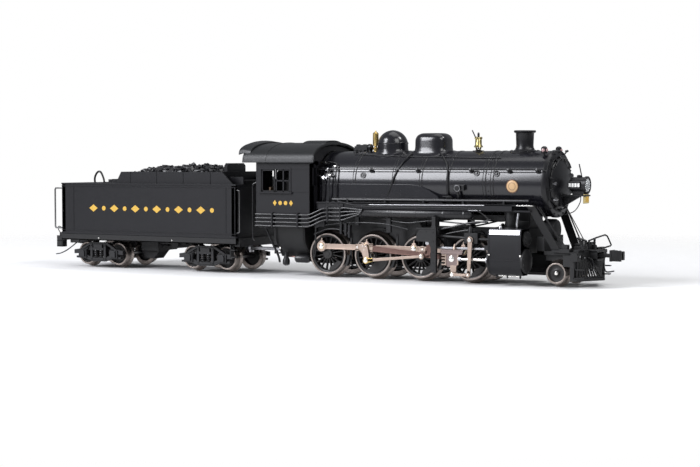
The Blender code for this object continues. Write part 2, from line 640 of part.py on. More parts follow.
def driver_wheel(x, side, main):
    """One driver, rim, spokes, hub, counterweight and crank pin: the shapes to add and to cut."""
    centre = (x, DRIVER_RADIUS)
    crank = crank_point(x, side, CRANK_THROW, CRANK_ANGLE[side])
    profile = [(WHEEL_BACK, DRIVER_RADIUS + DRIVER_FLANGE), (FLANGE_FRONT, DRIVER_RADIUS),
        (WHEEL_FACE, DRIVER_RADIUS - 0.05)]
    tyre = turned([(side * y, r) for y, r in profile], centre, "Y", 24)
    hub = disc(centre, 1.15, side * 4.0, side * 5.95, "Y", 10)
    boss = disc(crank, 0.8, side * 5.0, side * 5.95, "Y", 10)
    pin_end = MAIN_ROD_Y[1] + 0.03 if main else SIDE_ROD_Y[1] + 0.05
    pin = disc(crank, CRANK_PIN_RADIUS, side * 5.9, side * pin_end, "Y", 10)
    add = [hub, boss, pin]
    if not main:
        add.append(disc(crank, 0.6, side * (SIDE_ROD_Y[1] + 0.04), side * (SIDE_ROD_Y[1] + 0.18), "Y", 8))
    rim_radius, hub_radius = 3.65, 1.25
    cuts = [turned([(side * 5.45, rim_radius), (side * 6.5, rim_radius)], centre, "Y", 24)]
    half_spoke = 0.14
    weight = radians(CRANK_ANGLE[side] + 180)
    weight_span = radians(62 if main else 34)
    for i in range(DRIVER_SPOKES):
        middle = 2 * pi * (i + 0.5) / DRIVER_SPOKES
        apart = abs((middle - weight + pi) % (2 * pi) - pi)
        if apart < weight_span:
            continue
        outline = []
        for radius in (hub_radius, rim_radius):
            gap = pi / DRIVER_SPOKES - asin(half_spoke / radius)
            ends = (middle - gap, middle + gap) if radius == hub_radius else (middle + gap, middle - gap)
            outline += [(x + radius * cos(t), DRIVER_RADIUS + radius * sin(t)) for t in ends]
        cuts.append(slab(outline, side * 3.0, side * 7.0, "Y"))
    return tyre, add, cuts


def driver(index):
    """A wheelset: both drivers on their axle, quartered, the main one with the drive gear."""
    x = DRIVER_X[index]
    main = index == 1
    centre = (x, DRIVER_RADIUS)
    axle = disc(centre, AXLE_RADIUS, -4.2, 4.2)
    tyres, adds, cuts = [], [axle], []
    for side in (RIGHT, LEFT):
        tyre, add, cut = driver_wheel(x, side, main)
        tyres.append(tyre)
        adds += add
        cuts += cut
    if main:
        adds.append(slab(gear_outline(GEAR_TEETH, GEAR_RADIUS - 0.36, GEAR_RADIUS + 0.22, centre), -0.6,
            0.6, "Y"))
    solid(f"driver_{index + 1}", TYRE_STEEL, tyres, cuts, adds, pivot=(x, 0, DRIVER_RADIUS))


def small_wheelset(name, x, radius, axle_end, axle_radius):
    """Two small wheels on an axle."""
    face = WHEEL_FACE - 0.05
    profile = [(WHEEL_BACK, radius + SMALL_FLANGE), (4.05, radius + SMALL_FLANGE), (FLANGE_FRONT, radius)]
    profile += [(face, radius - 0.03), (face, radius - 0.4), (5.4, radius - 0.5)]
    wheels = both_sides([turned(profile, (x, radius), "Y", 16)])
    axle = disc((x, radius), axle_radius, -axle_end, axle_end, "Y", 8)
    solid(name, TYRE_STEEL, wheels + [axle], pivot=(x, 0, radius))


def pony_truck():
    """Two-wheel leading truck: a radius arm and a frame round the axle."""
    pivot = (24.6, 0.0)
    arm = block((pivot[0] - 0.6, 37.4), (-1.1, 1.1), (1.3, 1.9))
    eye = disc(pivot, 1.3, 1.3, 1.9, "Z", 16)
    cross = [block(x, (-3.3, 3.3), (1.3, 3.0)) for x in ((36.9, 37.5), (40.6, 41.2))]
    sides = both_sides([block((37.0, 41.1), (2.6, 3.3), (1.3, 3.0))])
    hole = disc(pivot, 0.72, 0.5, 3.0, "Z", 14)
    axle = disc((PONY_X, PONY_RADIUS), 0.5 + RUNNING_CLEARANCE, -4, 4, "Y", 14)
    solid("pony_truck", FRAME_BLACK, [arm, eye] + cross + sides, [hole, axle], pivot=(*pivot, 1.6))


# ---------------------------------------------------------------- rods and valve gear


def along(side, plane):
    return side * plane[0], side * plane[1]


def eye(centre, radius, side, plane, sides=12):
    low, high = along(side, plane)
    return disc(centre, radius, low, high, "Y", sides)


def hole(centre, radius, side):
    return disc(centre, radius, side * 5.0, side * 9.5, "Y", 10)


def side_rod(side):
    """Coupling rod over all four crank pins, with oil cups and knuckle pins."""
    pins = [crank_point(x, side, CRANK_THROW, CRANK_ANGLE[side]) for x in DRIVER_X]
    low, high = along(side, SIDE_ROD_Y)
    z = pins[0][1]
    shapes = [block((pins[0][0], pins[3][0]), (low, high), (z - 0.42, z + 0.42))]
    for k, pin in enumerate(pins):
        shapes.append(eye(pin, 1.0 if k in (0, 1) else 0.9, side, SIDE_ROD_Y))
        shapes.append(block((pin[0] - 0.25, pin[0] + 0.25), (low, high), (z + 0.7, z + 1.35)))
    knuckles = [pins[1][0] - 2.1, pins[2][0] + 1.9]
    shapes += [eye((x, z), 0.68, side, SIDE_ROD_Y) for x in knuckles]
    holes = [hole(pin, CRANK_PIN_RADIUS + RUNNING_CLEARANCE, side) for pin in pins]
    main = pins[1]
    solid(f"side_rod_{SIDE_NAME[side]}", ROD_STEEL, shapes, holes, pivot=(main[0], 0, main[1]))


def wrist(side):
    """The crosshead pin, where the main rod reaches the piston's height."""
    x, z = crank_point(0, side, CRANK_THROW, CRANK_ANGLE[side])
    return x + sqrt(MAIN_ROD_LENGTH ** 2 - (z - PISTON_Z) ** 2), PISTON_Z


def main_rod(side):
    """Main rod, fluted, from the main crank pin to the crosshead."""
    big = crank_point(0, side, CRANK_THROW, CRANK_ANGLE[side])
    small = wrist(side)
    low, high = along(side, MAIN_ROD_Y)
    flute_low = side * (MAIN_ROD_Y[1] - 0.14)
    direction = Vector((small[0] - big[0], small[1] - big[1])).normalized()
    start, end = Vector(big), Vector(small)
    block_start, block_end = start - direction * 1.1, start + direction * 1.6
    shank = slab(strip(tuple(start), tuple(end), 1.15), low, high, "Y")
    strap = slab(strip(tuple(block_start), tuple(block_end), 2.0), low, high, "Y")
    shapes = [shank, strap, eye(big, 1.05, side, MAIN_ROD_Y), eye(small, 0.85, side, MAIN_ROD_Y)]
    flute = slab(strip(tuple(start + direction * 2.4), tuple(end - direction * 1.8), 0.5), flute_low,
        side * 7.5, "Y")
    cuts = [flute, hole(big, CRANK_PIN_RADIUS + RUNNING_CLEARANCE, side)]
    solid(f"main_rod_{SIDE_NAME[side]}", ROD_STEEL, shapes, cuts, pivot=(big[0], 0, big[1]))


def eccentric_pin(side):
    return crank_point(0, side, ECCENTRIC_THROW, CRANK_ANGLE[side] + ECCENTRIC_LEAD)


def eccentric_crank(side):
    """Return crank on the end of the main crank pin, with the eccentric rod's pin."""
    crank = crank_point(0, side, CRANK_THROW, CRANK_ANGLE[side])
    pin = eccentric_pin(side)
    low, high = along(side, ECCENTRIC_CRANK_Y)
    shapes = [
        slab(capsule(crank, pin, 0.8, 0.6), low, high, "Y"),
        disc(pin, SMALL_PIN_RADIUS, side * 7.4, side * 8.02, "Y", 12),
        disc(pin, 0.5, side * 7.99, side * 8.1, "Y", 12),
    ]
    solid(f"eccentric_crank_{SIDE_NAME[side]}", ROD_STEEL, shapes, pivot=(0, 0, DRIVER_RADIUS))


def circles_meet(first, first_radius, second, second_radius):
    """The lower of the two points at the given distances from two centres."""
    gap = Vector(second) - Vector(first)
    reach = (first_radius ** 2 - second_radius ** 2 + gap.length ** 2) / (2 * gap.length)
    height = sqrt(first_radius ** 2 - reach ** 2)
    foot = Vector(first) + gap.normalized() * reach
    side = Vector((-gap.y, gap.x)).normalized() * height
    return min((tuple(foot + side), tuple(foot - side)), key=lambda point: point[1])


def link_foot(side):
    """Where the eccentric rod meets the expansion link's foot."""
    reach = hypot(TRUNNION[0] - LINK_FOOT[0], TRUNNION[1] - LINK_FOOT[1])
    return circles_meet(eccentric_pin(side), ECCENTRIC_ROD_LENGTH, TRUNNION, reach)


def eccentric_rod(side):
    """Rod from the return crank's pin to the foot of the expansion link."""
    pin, foot = eccentric_pin(side), link_foot(side)
    low, high = along(side, ECCENTRIC_ROD_Y)
    shapes = [
        slab(strip(pin, foot, 0.62), low, high, "Y"),
        eye(pin, 0.62, side, ECCENTRIC_ROD_Y),
        eye(foot, 0.55, side, ECCENTRIC_ROD_Y),
        disc(foot, 0.34, side * 7.9, side * 8.06, "Y", 12),
    ]
    cuts = [hole(pin, SMALL_PIN_RADIUS + RUNNING_CLEARANCE, side)]
    solid(f"eccentric_rod_{SIDE_NAME[side]}", ROD_STEEL, shapes, cuts, pivot=(pin[0], 0, pin[1]))


def expansion_link(side):
    """Curved slotted link on its trunnion, with the foot that the eccentric rod drives."""
    foot = link_foot(side)
    rest = atan2(LINK_FOOT[1] - TRUNNION[1], LINK_FOOT[0] - TRUNNION[0])
    swing = atan2(foot[1] - TRUNNION[1], foot[0] - TRUNNION[0]) - rest
    turn = Matrix.Rotation(swing, 2)

    def placed(points):
        return [tuple(turn @ (Vector(p) - Vector(TRUNNION)) + Vector(TRUNNION)) for p in points]

    def band(radius, half_width, spread):
        centre_x = TRUNNION[0] - radius
        outline = []
        for offset, order in ((half_width, range(9)), (-half_width, range(8, -1, -1))):
            for i in order:
                a = radians(-spread + 2 * spread * i / 8)
                outline.append((centre_x + (radius + offset) * cos(a),
                    TRUNNION[1] + (radius + offset) * sin(a)))
        return placed(outline)

    low, high = along(side, ECCENTRIC_CRANK_Y)
    shapes = [
        slab(band(8.0, 0.55, 17.0), low, high, "Y"),
        slab(placed(capsule((12.95, 5.2), LINK_FOOT, 0.5, 0.45)), low, high, "Y"),
        disc(TRUNNION, 0.75, low, side * 7.6, "Y", 14),
        disc(TRUNNION, SMALL_PIN_RADIUS, side * 7.5, side * 8.05, "Y", 12),
    ]
    slot = slab(band(8.0, 0.17, 13.0), side * 7.0, side * 7.25, "Y")
    solid(f"expansion_link_{SIDE_NAME[side]}", BODY_BLACK, shapes, [slot],
        pivot=(TRUNNION[0], 0, TRUNNION[1]))


def crosshead(side):
    """Crosshead with its slipper, oil cup, piston rod, wrist pin and drop arm."""
    x, z = wrist(side)
    low, high = along(side, CROSSHEAD_Y)
    cup = turned([(5.9, 0.25), (6.5, 0.25), (7.3, 0.06)], (x + 0.6, side * 7.9), "Z", 8)
    drop = slab([(x - 0.3, 3.0), (x + 1.1, 3.0), (x + 0.95, 0.9), (x - 0.02, 0.9)], side * 7.7, high, "Y")
    shapes = [
        block((x - 2.3, x + 2.4), (low, high), (5.3, 6.0)),
        slab([(x - 1.3, 5.4), (x + 1.5, 5.4), (x + 1.5, 3.2), (x + 0.9, 2.6), (x - 0.9, 2.6),
        (x - 1.3, 3.2)], low, high, "Y"),
        disc((side * PISTON_Y, PISTON_Z), 0.28, x + 1.0, x + 10.4, "X", 8),
        disc((x, z), 0.6, side * 7.9, side * 8.13, "Y", 14),
        disc((x + DROP_ARM_PIN[0], DROP_ARM_PIN[1]), 0.24, side * 8.0, side * 8.86, "Y", 10),
        cup,
        drop,
    ]
    ribs = [block((x - 2.2, x - 1.2), (side * 7.4, side * 7.9), (k, k + 0.25)) for k in (3.0, 3.7, 4.4)]
    solid(f"crosshead_{SIDE_NAME[side]}", ROD_STEEL, shapes + ribs, pivot=(x, side * PISTON_Y, z))


def lever_angle(side):
    """Lean of the combination lever forward from upright, and the point it reaches."""
    shift = wrist(side)[0] - wrist(RIGHT)[0]
    reach = asin((22.3 + shift - LEVER_TOP[0]) / LEVER_LENGTH)
    return LEVER_TOP[0] + LEVER_LENGTH * sin(reach), LEVER_TOP[1] - LEVER_LENGTH * cos(reach)


def combination_lever(side):
    """Lever hung from the valve stem's guide, moved by the crosshead through the union link."""
    low, high = along(side, LEVER_Y)
    foot = lever_angle(side)
    shapes = [
        slab(capsule(foot, LEVER_TOP, 0.4, 0.55), low, high, "Y"),
        eye(LEVER_TOP, 0.6, side, LEVER_Y),
    ]
    cuts = [hole(LEVER_TOP, 0.25 + RUNNING_CLEARANCE, side)]
    solid(f"combination_lever_{SIDE_NAME[side]}", ROD_STEEL, shapes, cuts,
        pivot=(LEVER_TOP[0], 0, LEVER_TOP[1]))


def union_link(side):
    """Short link from the drop arm to the combination lever's foot."""
    x, _ = wrist(side)
    pin, foot = (x + DROP_ARM_PIN[0], DROP_ARM_PIN[1]), lever_angle(side)
    low, high = along(side, UNION_LINK_Y)
    shapes = [slab(capsule(pin, foot, 0.42, 0.42), low, high, "Y")]
    cuts = [hole(pin, 0.24 + RUNNING_CLEARANCE, side)]
    solid(f"union_link_{SIDE_NAME[side]}", ROD_STEEL, shapes, cuts, pivot=(pin[0], 0, pin[1]))


# ---------------------------------------------------------------- couplers and drawbar


def coupler(name, pivot_x, face_x, direction):
    """Coupler shank and head; direction is +1 at the front and -1 at the rear."""
    low, high = COUPLER_Z - 1.0, COUPLER_Z + 1.0
    shank = block((pivot_x - direction * 0.9, face_x - direction * 1.9), (-0.5, 0.5),
        (COUPLER_Z - 0.35, COUPLER_Z + 0.35))
    eye_disc = disc((pivot_x, 0), 0.9, COUPLER_Z - 0.35, COUPLER_Z + 0.35, "Z", 14)
    head = slab(
        [(face_x - direction * 2.3, -0.8), (face_x - direction * 1.2, -0.9), (face_x, -1.3),
        (face_x, -0.75),
         (face_x - direction * 1.0, -0.2), (face_x - direction * 1.1, 0.35),
         (face_x - direction * 1.7, 0.9),
         (face_x - direction * 2.3, 0.8)], low, high, "Z")
    pin = pipe([(face_x - direction * 1.9, 0, low + 0.1), (face_x - direction * 1.8, 0, low - 1.2),
                (face_x - direction * 0.3, 0, low - 2.2)], 0.16, 6)
    solid(name, FRAME_BLACK, [shank, eye_disc, head, pin], pivot=(pivot_x, 0, COUPLER_Z))


def knuckle(name, face_x, direction):
    """The hook that swings open beside the coupler's head."""
    hinge = (face_x - direction * 0.95, 0.95)
    low, high = COUPLER_Z - 0.8, COUPLER_Z + 0.8
    outline = [(face_x - direction * 1.35, 1.35), (face_x - direction * 0.3, 1.25), (face_x, 0.9),
        (face_x, 0.1),
               (face_x - direction * 0.35, 0.1), (face_x - direction * 0.45, 0.55),
               (face_x - direction * 0.95, 0.7)]
    solid(name, FRAME_BLACK, [slab(outline, low, high, "Z")], pivot=(*hinge, COUPLER_Z))


def drawbar():
    """Flat bar between the engine's pin and the tender's."""
    outline = capsule((DRAWBAR_PINS[1], 0), (DRAWBAR_PINS[0], 0), 1.1, 1.1)
    holes = [disc((x, 0), 0.5 + RUNNING_CLEARANCE, 3.0, 6.0, "Z", 14) for x in DRAWBAR_PINS]
    solid("drawbar", FRAME_BLACK, [slab(outline, 4.2, 4.8, "Z")], holes, pivot=(DRAWBAR_PINS[0], 0, 4.5))


# ---------------------------------------------------------------- tender


def tender_tank():
    """Water tank and coal space, open below, with ribs, side boards, hatch and grab irons."""
    outer = block((TANK_REAR, TANK_FRONT), (-TANK_HALF_WIDTH, TANK_HALF_WIDTH), (TANK_BOTTOM, TANK_TOP))
    rib = 0.12
    ribs = []
    for low, high in ((TANK_BOTTOM, TANK_BOTTOM + 0.5), (TANK_TOP - 0.5, TANK_TOP + 0.15)):
        ribs.append(block((TANK_REAR - rib, TANK_FRONT + rib),
            (-TANK_HALF_WIDTH - rib, TANK_HALF_WIDTH + rib), (low, high)))
    profile = [(-62.4, 17.5), (-60.9, BUNKER_TOP), (-34.4, BUNKER_TOP), (-31.6, 17.5)]
    bunker = slab(profile, -8.6, 8.6, "Y")
    bulkhead = block((-35.4, -34.3), (-8.0, 8.0), (18.0, 22.4))
    coal_space = slab([(-60.2, BUNKER_TOP + 2), (-58.0, 16.0), (-38.4, 16.0), (-36.2, BUNKER_TOP + 2)],
        -7.9, 7.9, "Y")
    hollow = block((TANK_REAR + 1.0, TANK_FRONT - 1.0), (-8.5, 8.5), (TANK_BOTTOM - 1, 15.2))
    hatch = disc((-69.6, 0.0), 2.2, 17.9, 18.7, "Z", 20)
    ring = pipe([(-70.9, -3.2, 17.9), (-70.9, -3.2, 19.9), (-68.4, -3.2, 19.9), (-68.4, -3.2, 17.9)], 0.15,
        6)
    grabs = []
    for side in (RIGHT, LEFT):
        y = side * 8.6
        grabs.append(pipe([(TANK_REAR, y, 16.9), (TANK_REAR - 1.1, y, 16.9), (TANK_REAR - 1.1, y, 8.2),
            (TANK_REAR, y, 8.2)], 0.15, 6))
    solid("tender_tank", BODY_BLACK, [outer, bunker, bulkhead, hatch, ring] + ribs + grabs,
        [coal_space, hollow])


def coal_load():
    """Heaped coal in the bunker."""
    rings = []
    count = 20
    for z, length, width in ((16.3, 17.6, 15.0), (19.0, 20.0, 15.0), (20.9, 21.6, 14.4), (21.7, 16.0, 10.5),
        (22.2, 8.0, 5.5)):
        ring = []
        for i in range(count):
            turn = 2 * pi * (i + 0.5) / count
            lump = 1 + 0.03 * sin(5 * turn + 3 * z)
            c, s = cos(turn), sin(turn)
            ring.append((
                -48.2 + length / 2 * lump * abs(c) ** 0.5 * (1 if c > 0 else -1),
                width / 2 * (lump if z > 19.6 else 1) * abs(s) ** 0.5 * (1 if s > 0 else -1),
                z,
            ))
        rings.append(ring)
    solid("coal_load", COAL, [rings_to_solid(rings)])


def tender_frame():
    """Tender floor with side sills, centre plates, end beams, steps and the coupler's pocket."""
    floor = block((-77.3, -30.2), (-8.7, 8.7), (6.2, 6.9))
    sills = both_sides([block((-76.9, -30.5), (8.5, 9.3), (5.5, 6.9))])
    beam = block((-78.3, -77.0), (-8.6, 8.6), (4.6, 6.9))
    plates = [disc((x, 0), 1.5, 5.6, 6.4, "Z") for x in TRUCK_X.values()]
    screws = [disc((x, 0), 0.6, 3.2, 6.0, "Z", 10) for x in TRUCK_X.values()]
    pin = disc((DRAWBAR_PINS[1], 0), 0.5, 3.8, 6.4, "Z", 12)
    nut = disc((DRAWBAR_PINS[1], 0), 0.85, 3.6, 4.05, "Z", 12)
    box = block((-59.6, -54.8), (-3.6, 3.6), (2.6, 6.4))
    steps = both_sides([block((-78.3, -76.9), (7.4, 8.6), (2.8, 3.2)),
        block((-77.2, -76.9), (7.4, 8.6), (2.8, 6.4)),
                        block((-32.2, -30.9), (7.6, 9.0), (2.8, 3.2)),
                        block((-32.2, -31.9), (7.6, 9.0), (2.8, 6.4))])
    cheeks = [block((-78.2, -75.6), (-1.9, 1.9), z) for z in ((4.3, 4.7), (6.0, 6.4))]
    pocket = block((-79, -75.6), (-1.5, 1.5), (4.7, 6.0))
    solid("tender_frame", FRAME_BLACK, [floor, beam, pin, nut, box] + sills + plates + screws + steps
        + cheeks, [pocket])


def tender_truck(end):
    """Four-wheel truck: side frames with journal boxes and springs, joined by the bolster."""
    x, half = TRUCK_X[end], TRUCK_HALF_WHEELBASE
    z = TENDER_RADIUS
    arch = [(-6.2, z - 0.9), (-6.2, z + 0.7), (-3.4, z + 2.4), (3.4, z + 2.4), (6.2, z + 0.7),
        (6.2, z - 0.9), (3.0, z - 1.6), (-3.0, z - 1.6)]
    window = [(1.1, z - 0.7), (3.0, z - 0.7), (2.2, z + 1.5), (1.1, z + 1.5)]
    shapes, cuts = [], []
    for side in (RIGHT, LEFT):
        shapes.append(slab([(x + u, v) for u, v in arch], side * 6.4, side * 7.2, "Y"))
        for way in (-1, 1):
            axle = x + way * half
            shapes.append(block((axle - 0.85, axle + 0.85), (side * 6.5, side * 7.7), (z - 0.8, z + 0.75)))
            shapes.append(disc((x + way * 0.75, side * 7.15), 0.5, z - 0.9, z + 1.0, "Z", 8))
            cuts.append(slab([(x + way * u, v) for u, v in window], side * 6.0, side * 8.0, "Y"))
            cuts.append(disc((axle, z), 0.35 + RUNNING_CLEARANCE, side * 6.0, side * 7.3, "Y", 8))
    bolster = block((x - 1.0, x + 1.0), (-6.6, 6.6), (z + 0.9, z + 2.3))
    pad = disc((x, 0), 1.3, z + 2.2, 5.55, "Z", 14)
    screw_way = disc((x, 0), 0.72, 2.0, 7.0, "Z", 14)
    solid(f"tender_truck_{end}", FRAME_BLACK, [bolster, pad] + shapes, cuts + [screw_way], pivot=(x, 0, z))


def build():
    keeper_plate()
    boiler_shell()
    smokebox_front()
    smokestack()
    steam_dome()
    sand_dome()
    bell()
    whistle()
    safety_valves()
    cab_shell()
    cab_roof()
    backhead()
    ashpan()
    headlight()
    headlight_lens()
    pilot()
    cylinder_block()
    guide_yoke()
    motor()
    motor_shaft()
    for index in range(len(DRIVER_X)):
        driver(index)
    small_wheelset("pony_wheelset", PONY_X, PONY_RADIUS, 4.2, 0.5)
    pony_truck()
    for side in (RIGHT, LEFT):
        frame_half(side)
        running_board(side)
        side_rod(side)
        main_rod(side)
        eccentric_crank(side)
        eccentric_rod(side)
        expansion_link(side)
        crosshead(side)
        combination_lever(side)
        union_link(side)
    coupler("front_coupler", FRONT_PIVOT, 50.0, 1)
    knuckle("front_knuckle", 50.0, 1)
    coupler("rear_coupler", REAR_PIVOT, -81.5, -1)
    knuckle("rear_knuckle", -81.5, -1)
    drawbar()
    tender_tank()
    coal_load()
    tender_frame()
    axles = []
    for end in ("rear", "front"):
        tender_truck(end)
        axles += [TRUCK_X[end] - TRUCK_HALF_WHEELBASE, TRUCK_X[end] + TRUCK_HALF_WHEELBASE]
    for index, x in enumerate(sorted(axles, reverse=True)):
        small_wheelset(f"tender_wheelset_{index + 1}", x, TENDER_RADIUS, 6.9, 0.35)


build()
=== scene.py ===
import random
from math import asin, atan2, cos, hypot, pi, radians, sin, sqrt

import bmesh
import bpy
from mathutils import Matrix, Vector


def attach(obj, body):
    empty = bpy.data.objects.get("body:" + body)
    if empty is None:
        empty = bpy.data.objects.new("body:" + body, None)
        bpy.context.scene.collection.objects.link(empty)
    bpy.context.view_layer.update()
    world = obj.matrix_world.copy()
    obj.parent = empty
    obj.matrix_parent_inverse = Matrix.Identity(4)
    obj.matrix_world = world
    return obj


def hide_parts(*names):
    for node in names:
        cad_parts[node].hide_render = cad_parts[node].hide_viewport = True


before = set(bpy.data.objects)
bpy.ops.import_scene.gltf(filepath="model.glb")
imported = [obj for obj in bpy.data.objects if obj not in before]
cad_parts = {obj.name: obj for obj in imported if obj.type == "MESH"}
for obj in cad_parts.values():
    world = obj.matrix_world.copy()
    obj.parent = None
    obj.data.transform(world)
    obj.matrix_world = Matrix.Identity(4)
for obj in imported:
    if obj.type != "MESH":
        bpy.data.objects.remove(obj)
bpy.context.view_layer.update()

# Looks of an N scale (1:160) model steam locomotive with its tender. Lengths below are in
# millimetres, x forward from the main driving axle, y to the left, z up from the rail tops.
MM = 0.001
MID_LENGTH_SHIFT = 15.75
RIGHT, LEFT = -1, 1
SIDES = (RIGHT, LEFT)
SIDE_NAME = {RIGHT: "right", LEFT: "left"}

DRIVER_X = (-10.45, 0.0, 10.6, 21.3)
DRIVER_R, DRIVER_FLANGE = 4.25, 0.55
SPOKES = 16
PONY_X, PONY_R = 39.05, 2.09
TENDER_R, SMALL_FLANGE = 2.55, 0.45
WHEEL_BACK, WHEEL_FACE = 3.75, 5.8
CRANK_THROW = 1.85
CRANK_ANGLE = {RIGHT: 125.0, LEFT: 35.0}
ECCENTRIC_THROW, ECCENTRIC_LEAD = 1.01, 120.5
SIDE_ROD_Y = (6.05, 6.5)
MAIN_ROD_Y = (6.75, 7.1)
RETURN_CRANK_Y = (7.16, 7.5)
ECCENTRIC_ROD_Y = (7.6, 7.95)
CROSSHEAD_Y = (7.2, 8.1)
LEVER_Y = (8.15, 8.45)
UNION_LINK_Y = (8.5, 8.8)
MAIN_ROD_LENGTH, ECCENTRIC_ROD_LENGTH = 19.62, 12.375
PISTON_Y, PISTON_Z = 7.68, 4.25
TRUNNION, LINK_FOOT = (13.4, 7.2), (11.9, 4.5)
DROP_ARM_PIN = (0.46, 1.31)
LEVER_TOP, LEVER_LENGTH = (22.6, 8.0), 6.7
BOILER_R, BOILER_Z = 6.27, 18.64
BAND_X = (-4.0, 4.9, 10.9, 16.8, 24.5, 26.1)
RAIL_R, RAIL_ANGLE = 7.0, 22.5
STANCHION_X = (-0.2, 10.2, 21.7, 29.6, 35.4)
CAB_REAR, CAB_FRONT, CAB_HALF, CAB_FLOOR, CAB_EAVE = -25.66, -12.42, 8.9, 9.8, 22.6
ROOF_HALF, ROOF_EAVE, ROOF_TOP = 9.6, 22.8, 26.7
TANK_REAR, TANK_FRONT, TANK_HALF = -76.9, -30.55, 9.3
TANK_BOTTOM, TANK_TOP, BUNKER_TOP = 6.95, 17.98, 20.6
BULKHEAD_HALF = 3.45
TRUCK_X = {"rear": -68.4, "front": -39.6}
HALF_WHEELBASE = 4.3
COUPLER_Z = 5.36


# ---------------------------------------------------------------- finishes


def finish(name, colour, rough, metal=0.0, grain=0.12, bump=0.05, size=0.6, coat=0.0, dirt=0.25,
    gleam=0.36):
    """A painted, plated or moulded finish with fine grain, uneven gloss and faint handling marks."""
    material = bpy.data.materials.new(name)
    material.use_nodes = True
    nodes, links = material.node_tree.nodes, material.node_tree.links
    shader = nodes["Principled BSDF"]
    place = nodes.new("ShaderNodeTexCoord")
    fine, broad = nodes.new("ShaderNodeTexNoise"), nodes.new("ShaderNodeTexNoise")
    for noise, scale, detail in ((fine, 1 / (size * MM), 5.0), (broad, 1 / (9.0 * size * MM), 3.0)):
        noise.inputs["Scale"].default_value = scale
        noise.inputs["Detail"].default_value = detail
        links.new(place.outputs["Object"], noise.inputs["Vector"])
    gloss = nodes.new("ShaderNodeMapRange")
    gloss.inputs["To Min"].default_value = max(rough - grain, 0.03)
    gloss.inputs["To Max"].default_value = min(rough + grain, 1.0)
    links.new(fine.outputs["Fac"], gloss.inputs["Value"])
    links.new(gloss.outputs["Result"], shader.inputs["Roughness"])
    tone = nodes.new("ShaderNodeMix")
    tone.data_type = "RGBA"
    tone.inputs["A"].default_value = (*colour, 1.0)
    tone.inputs["B"].default_value = (*[c * (1 - dirt) for c in colour], 1.0)
    links.new(broad.outputs["Fac"], tone.inputs["Factor"])
    links.new(tone.outputs["Result"], shader.inputs["Base Color"])
    relief = nodes.new("ShaderNodeBump")
    relief.inputs["Strength"].default_value = bump
    relief.inputs["Distance"].default_value = 0.05 * MM
    links.new(fine.outputs["Fac"], relief.inputs["Height"])
    links.new(relief.outputs["Normal"], shader.inputs["Normal"])
    shader.inputs["Metallic"].default_value = metal
    shader.inputs["Specular IOR Level"].default_value = 0.5 if metal else gleam
    shader.inputs["Coat Weight"].default_value = coat
    shader.inputs["Coat Roughness"].default_value = 0.12
    return material


BOILER = finish("boiler_semi_gloss", (0.008, 0.008, 0.011), 0.24, coat=0.35, size=1.4, grain=0.03,
    bump=0.006)
SMOKEBOX = finish("smokebox_graphite", (0.006, 0.006, 0.0075), 0.33, size=0.9, grain=0.07, bump=0.03)
CAB = finish("cab_satin_charcoal", (0.0085, 0.0085, 0.0105), 0.44, size=0.5, bump=0.05, gleam=0.26)
ROOF = finish("roof_satin_black", (0.010, 0.011, 0.012), 0.42, size=0.35)
UNDER = finish("underframe_black", (0.008, 0.008, 0.0088), 0.48, size=0.3, bump=0.1)
MOULDED = finish("moulded_black", (0.013, 0.013, 0.0145), 0.5, size=0.3, bump=0.1)
TRIM = finish("trim_black", (0.011, 0.011, 0.0125), 0.3, size=0.3)
TYRE = finish("tyre_nickel", (0.31, 0.27, 0.245), 0.3, metal=1.0, size=0.2, dirt=0.15)
SPOKE = finish("wheel_black", (0.016, 0.015, 0.015), 0.42, size=0.3)
ROD = finish("rod_plated", (0.47, 0.37, 0.31), 0.36, metal=1.0, size=0.2, dirt=0.35)
DARK_ROD = finish("rod_bronzed", (0.18, 0.11, 0.095), 0.38, metal=0.9, size=0.2, dirt=0.45)
PIN = finish("pin_nickel", (0.86, 0.84, 0.8), 0.2, metal=1.0, size=0.2, dirt=0.1)
RAIL = finish("handrail_wire", (0.17, 0.17, 0.17), 0.35, metal=0.7, size=0.2)
BRASS = finish("brass_polished", (0.83, 0.6, 0.22), 0.25, metal=1.0, size=0.25, dirt=0.3)
GILT = finish("gold_paint", (0.6, 0.37, 0.06), 0.45, size=0.2, bump=0.03, dirt=0.1)
PLATE = finish("plate_enamel", (0.55, 0.36, 0.19), 0.4, size=0.2, dirt=0.08)
WHITE = finish("plate_white", (0.82, 0.82, 0.8), 0.4, size=0.3, dirt=0.08)
STEEL = finish("steel_ground", (0.5, 0.5, 0.52), 0.3, metal=1.0, size=0.2)
REFLECTOR = finish("reflector", (0.9, 0.9, 0.9), 0.1, metal=1.0, size=0.4, dirt=0.05)
BELL = finish("bell_aged_brass", (0.42, 0.36, 0.17), 0.3, metal=1.0, size=0.25, dirt=0.35)
# bright grey metal for the cylinders' rounded top shoulder: a painted highlight standing in for the lamp's
# reflection there
SHOULDER_HIGHLIGHT = finish("casing_painted_highlight", (0.42, 0.42, 0.44), 0.32, metal=0.8, size=0.4)
KEYSTONE = finish("plate_yellow", (0.6, 0.48, 0.2), 0.35, size=0.25, dirt=0.2)
CROSS = finish("crosshead_plated", (0.24, 0.185, 0.175), 0.4, metal=0.85, size=0.2, dirt=0.35)
ROSE = finish("marker_lens", (0.4, 0.26, 0.26), 0.15, size=0.3, coat=0.5, dirt=0.1)
COAL = finish("coal_glint", (0.014, 0.014, 0.016), 0.34, size=0.25, grain=0.22, bump=0.4)
WOOD = finish("cab_floor_wood", (0.09, 0.055, 0.03), 0.6, size=0.4, bump=0.15)


def clear_finish(name, tint, rough, alpha):
    material = finish(name, tint, rough, grain=0.02, size=0.8, dirt=0.05)
    shader = material.node_tree.nodes["Principled BSDF"]
    shader.inputs["Transmission Weight"].default_value = alpha
    shader.inputs["IOR"].default_value = 1.45
    return material


LENS = clear_finish("lens_clear", (0.92, 0.94, 0.95), 0.06, 0.85)


# ---------------------------------------------------------------- shapes


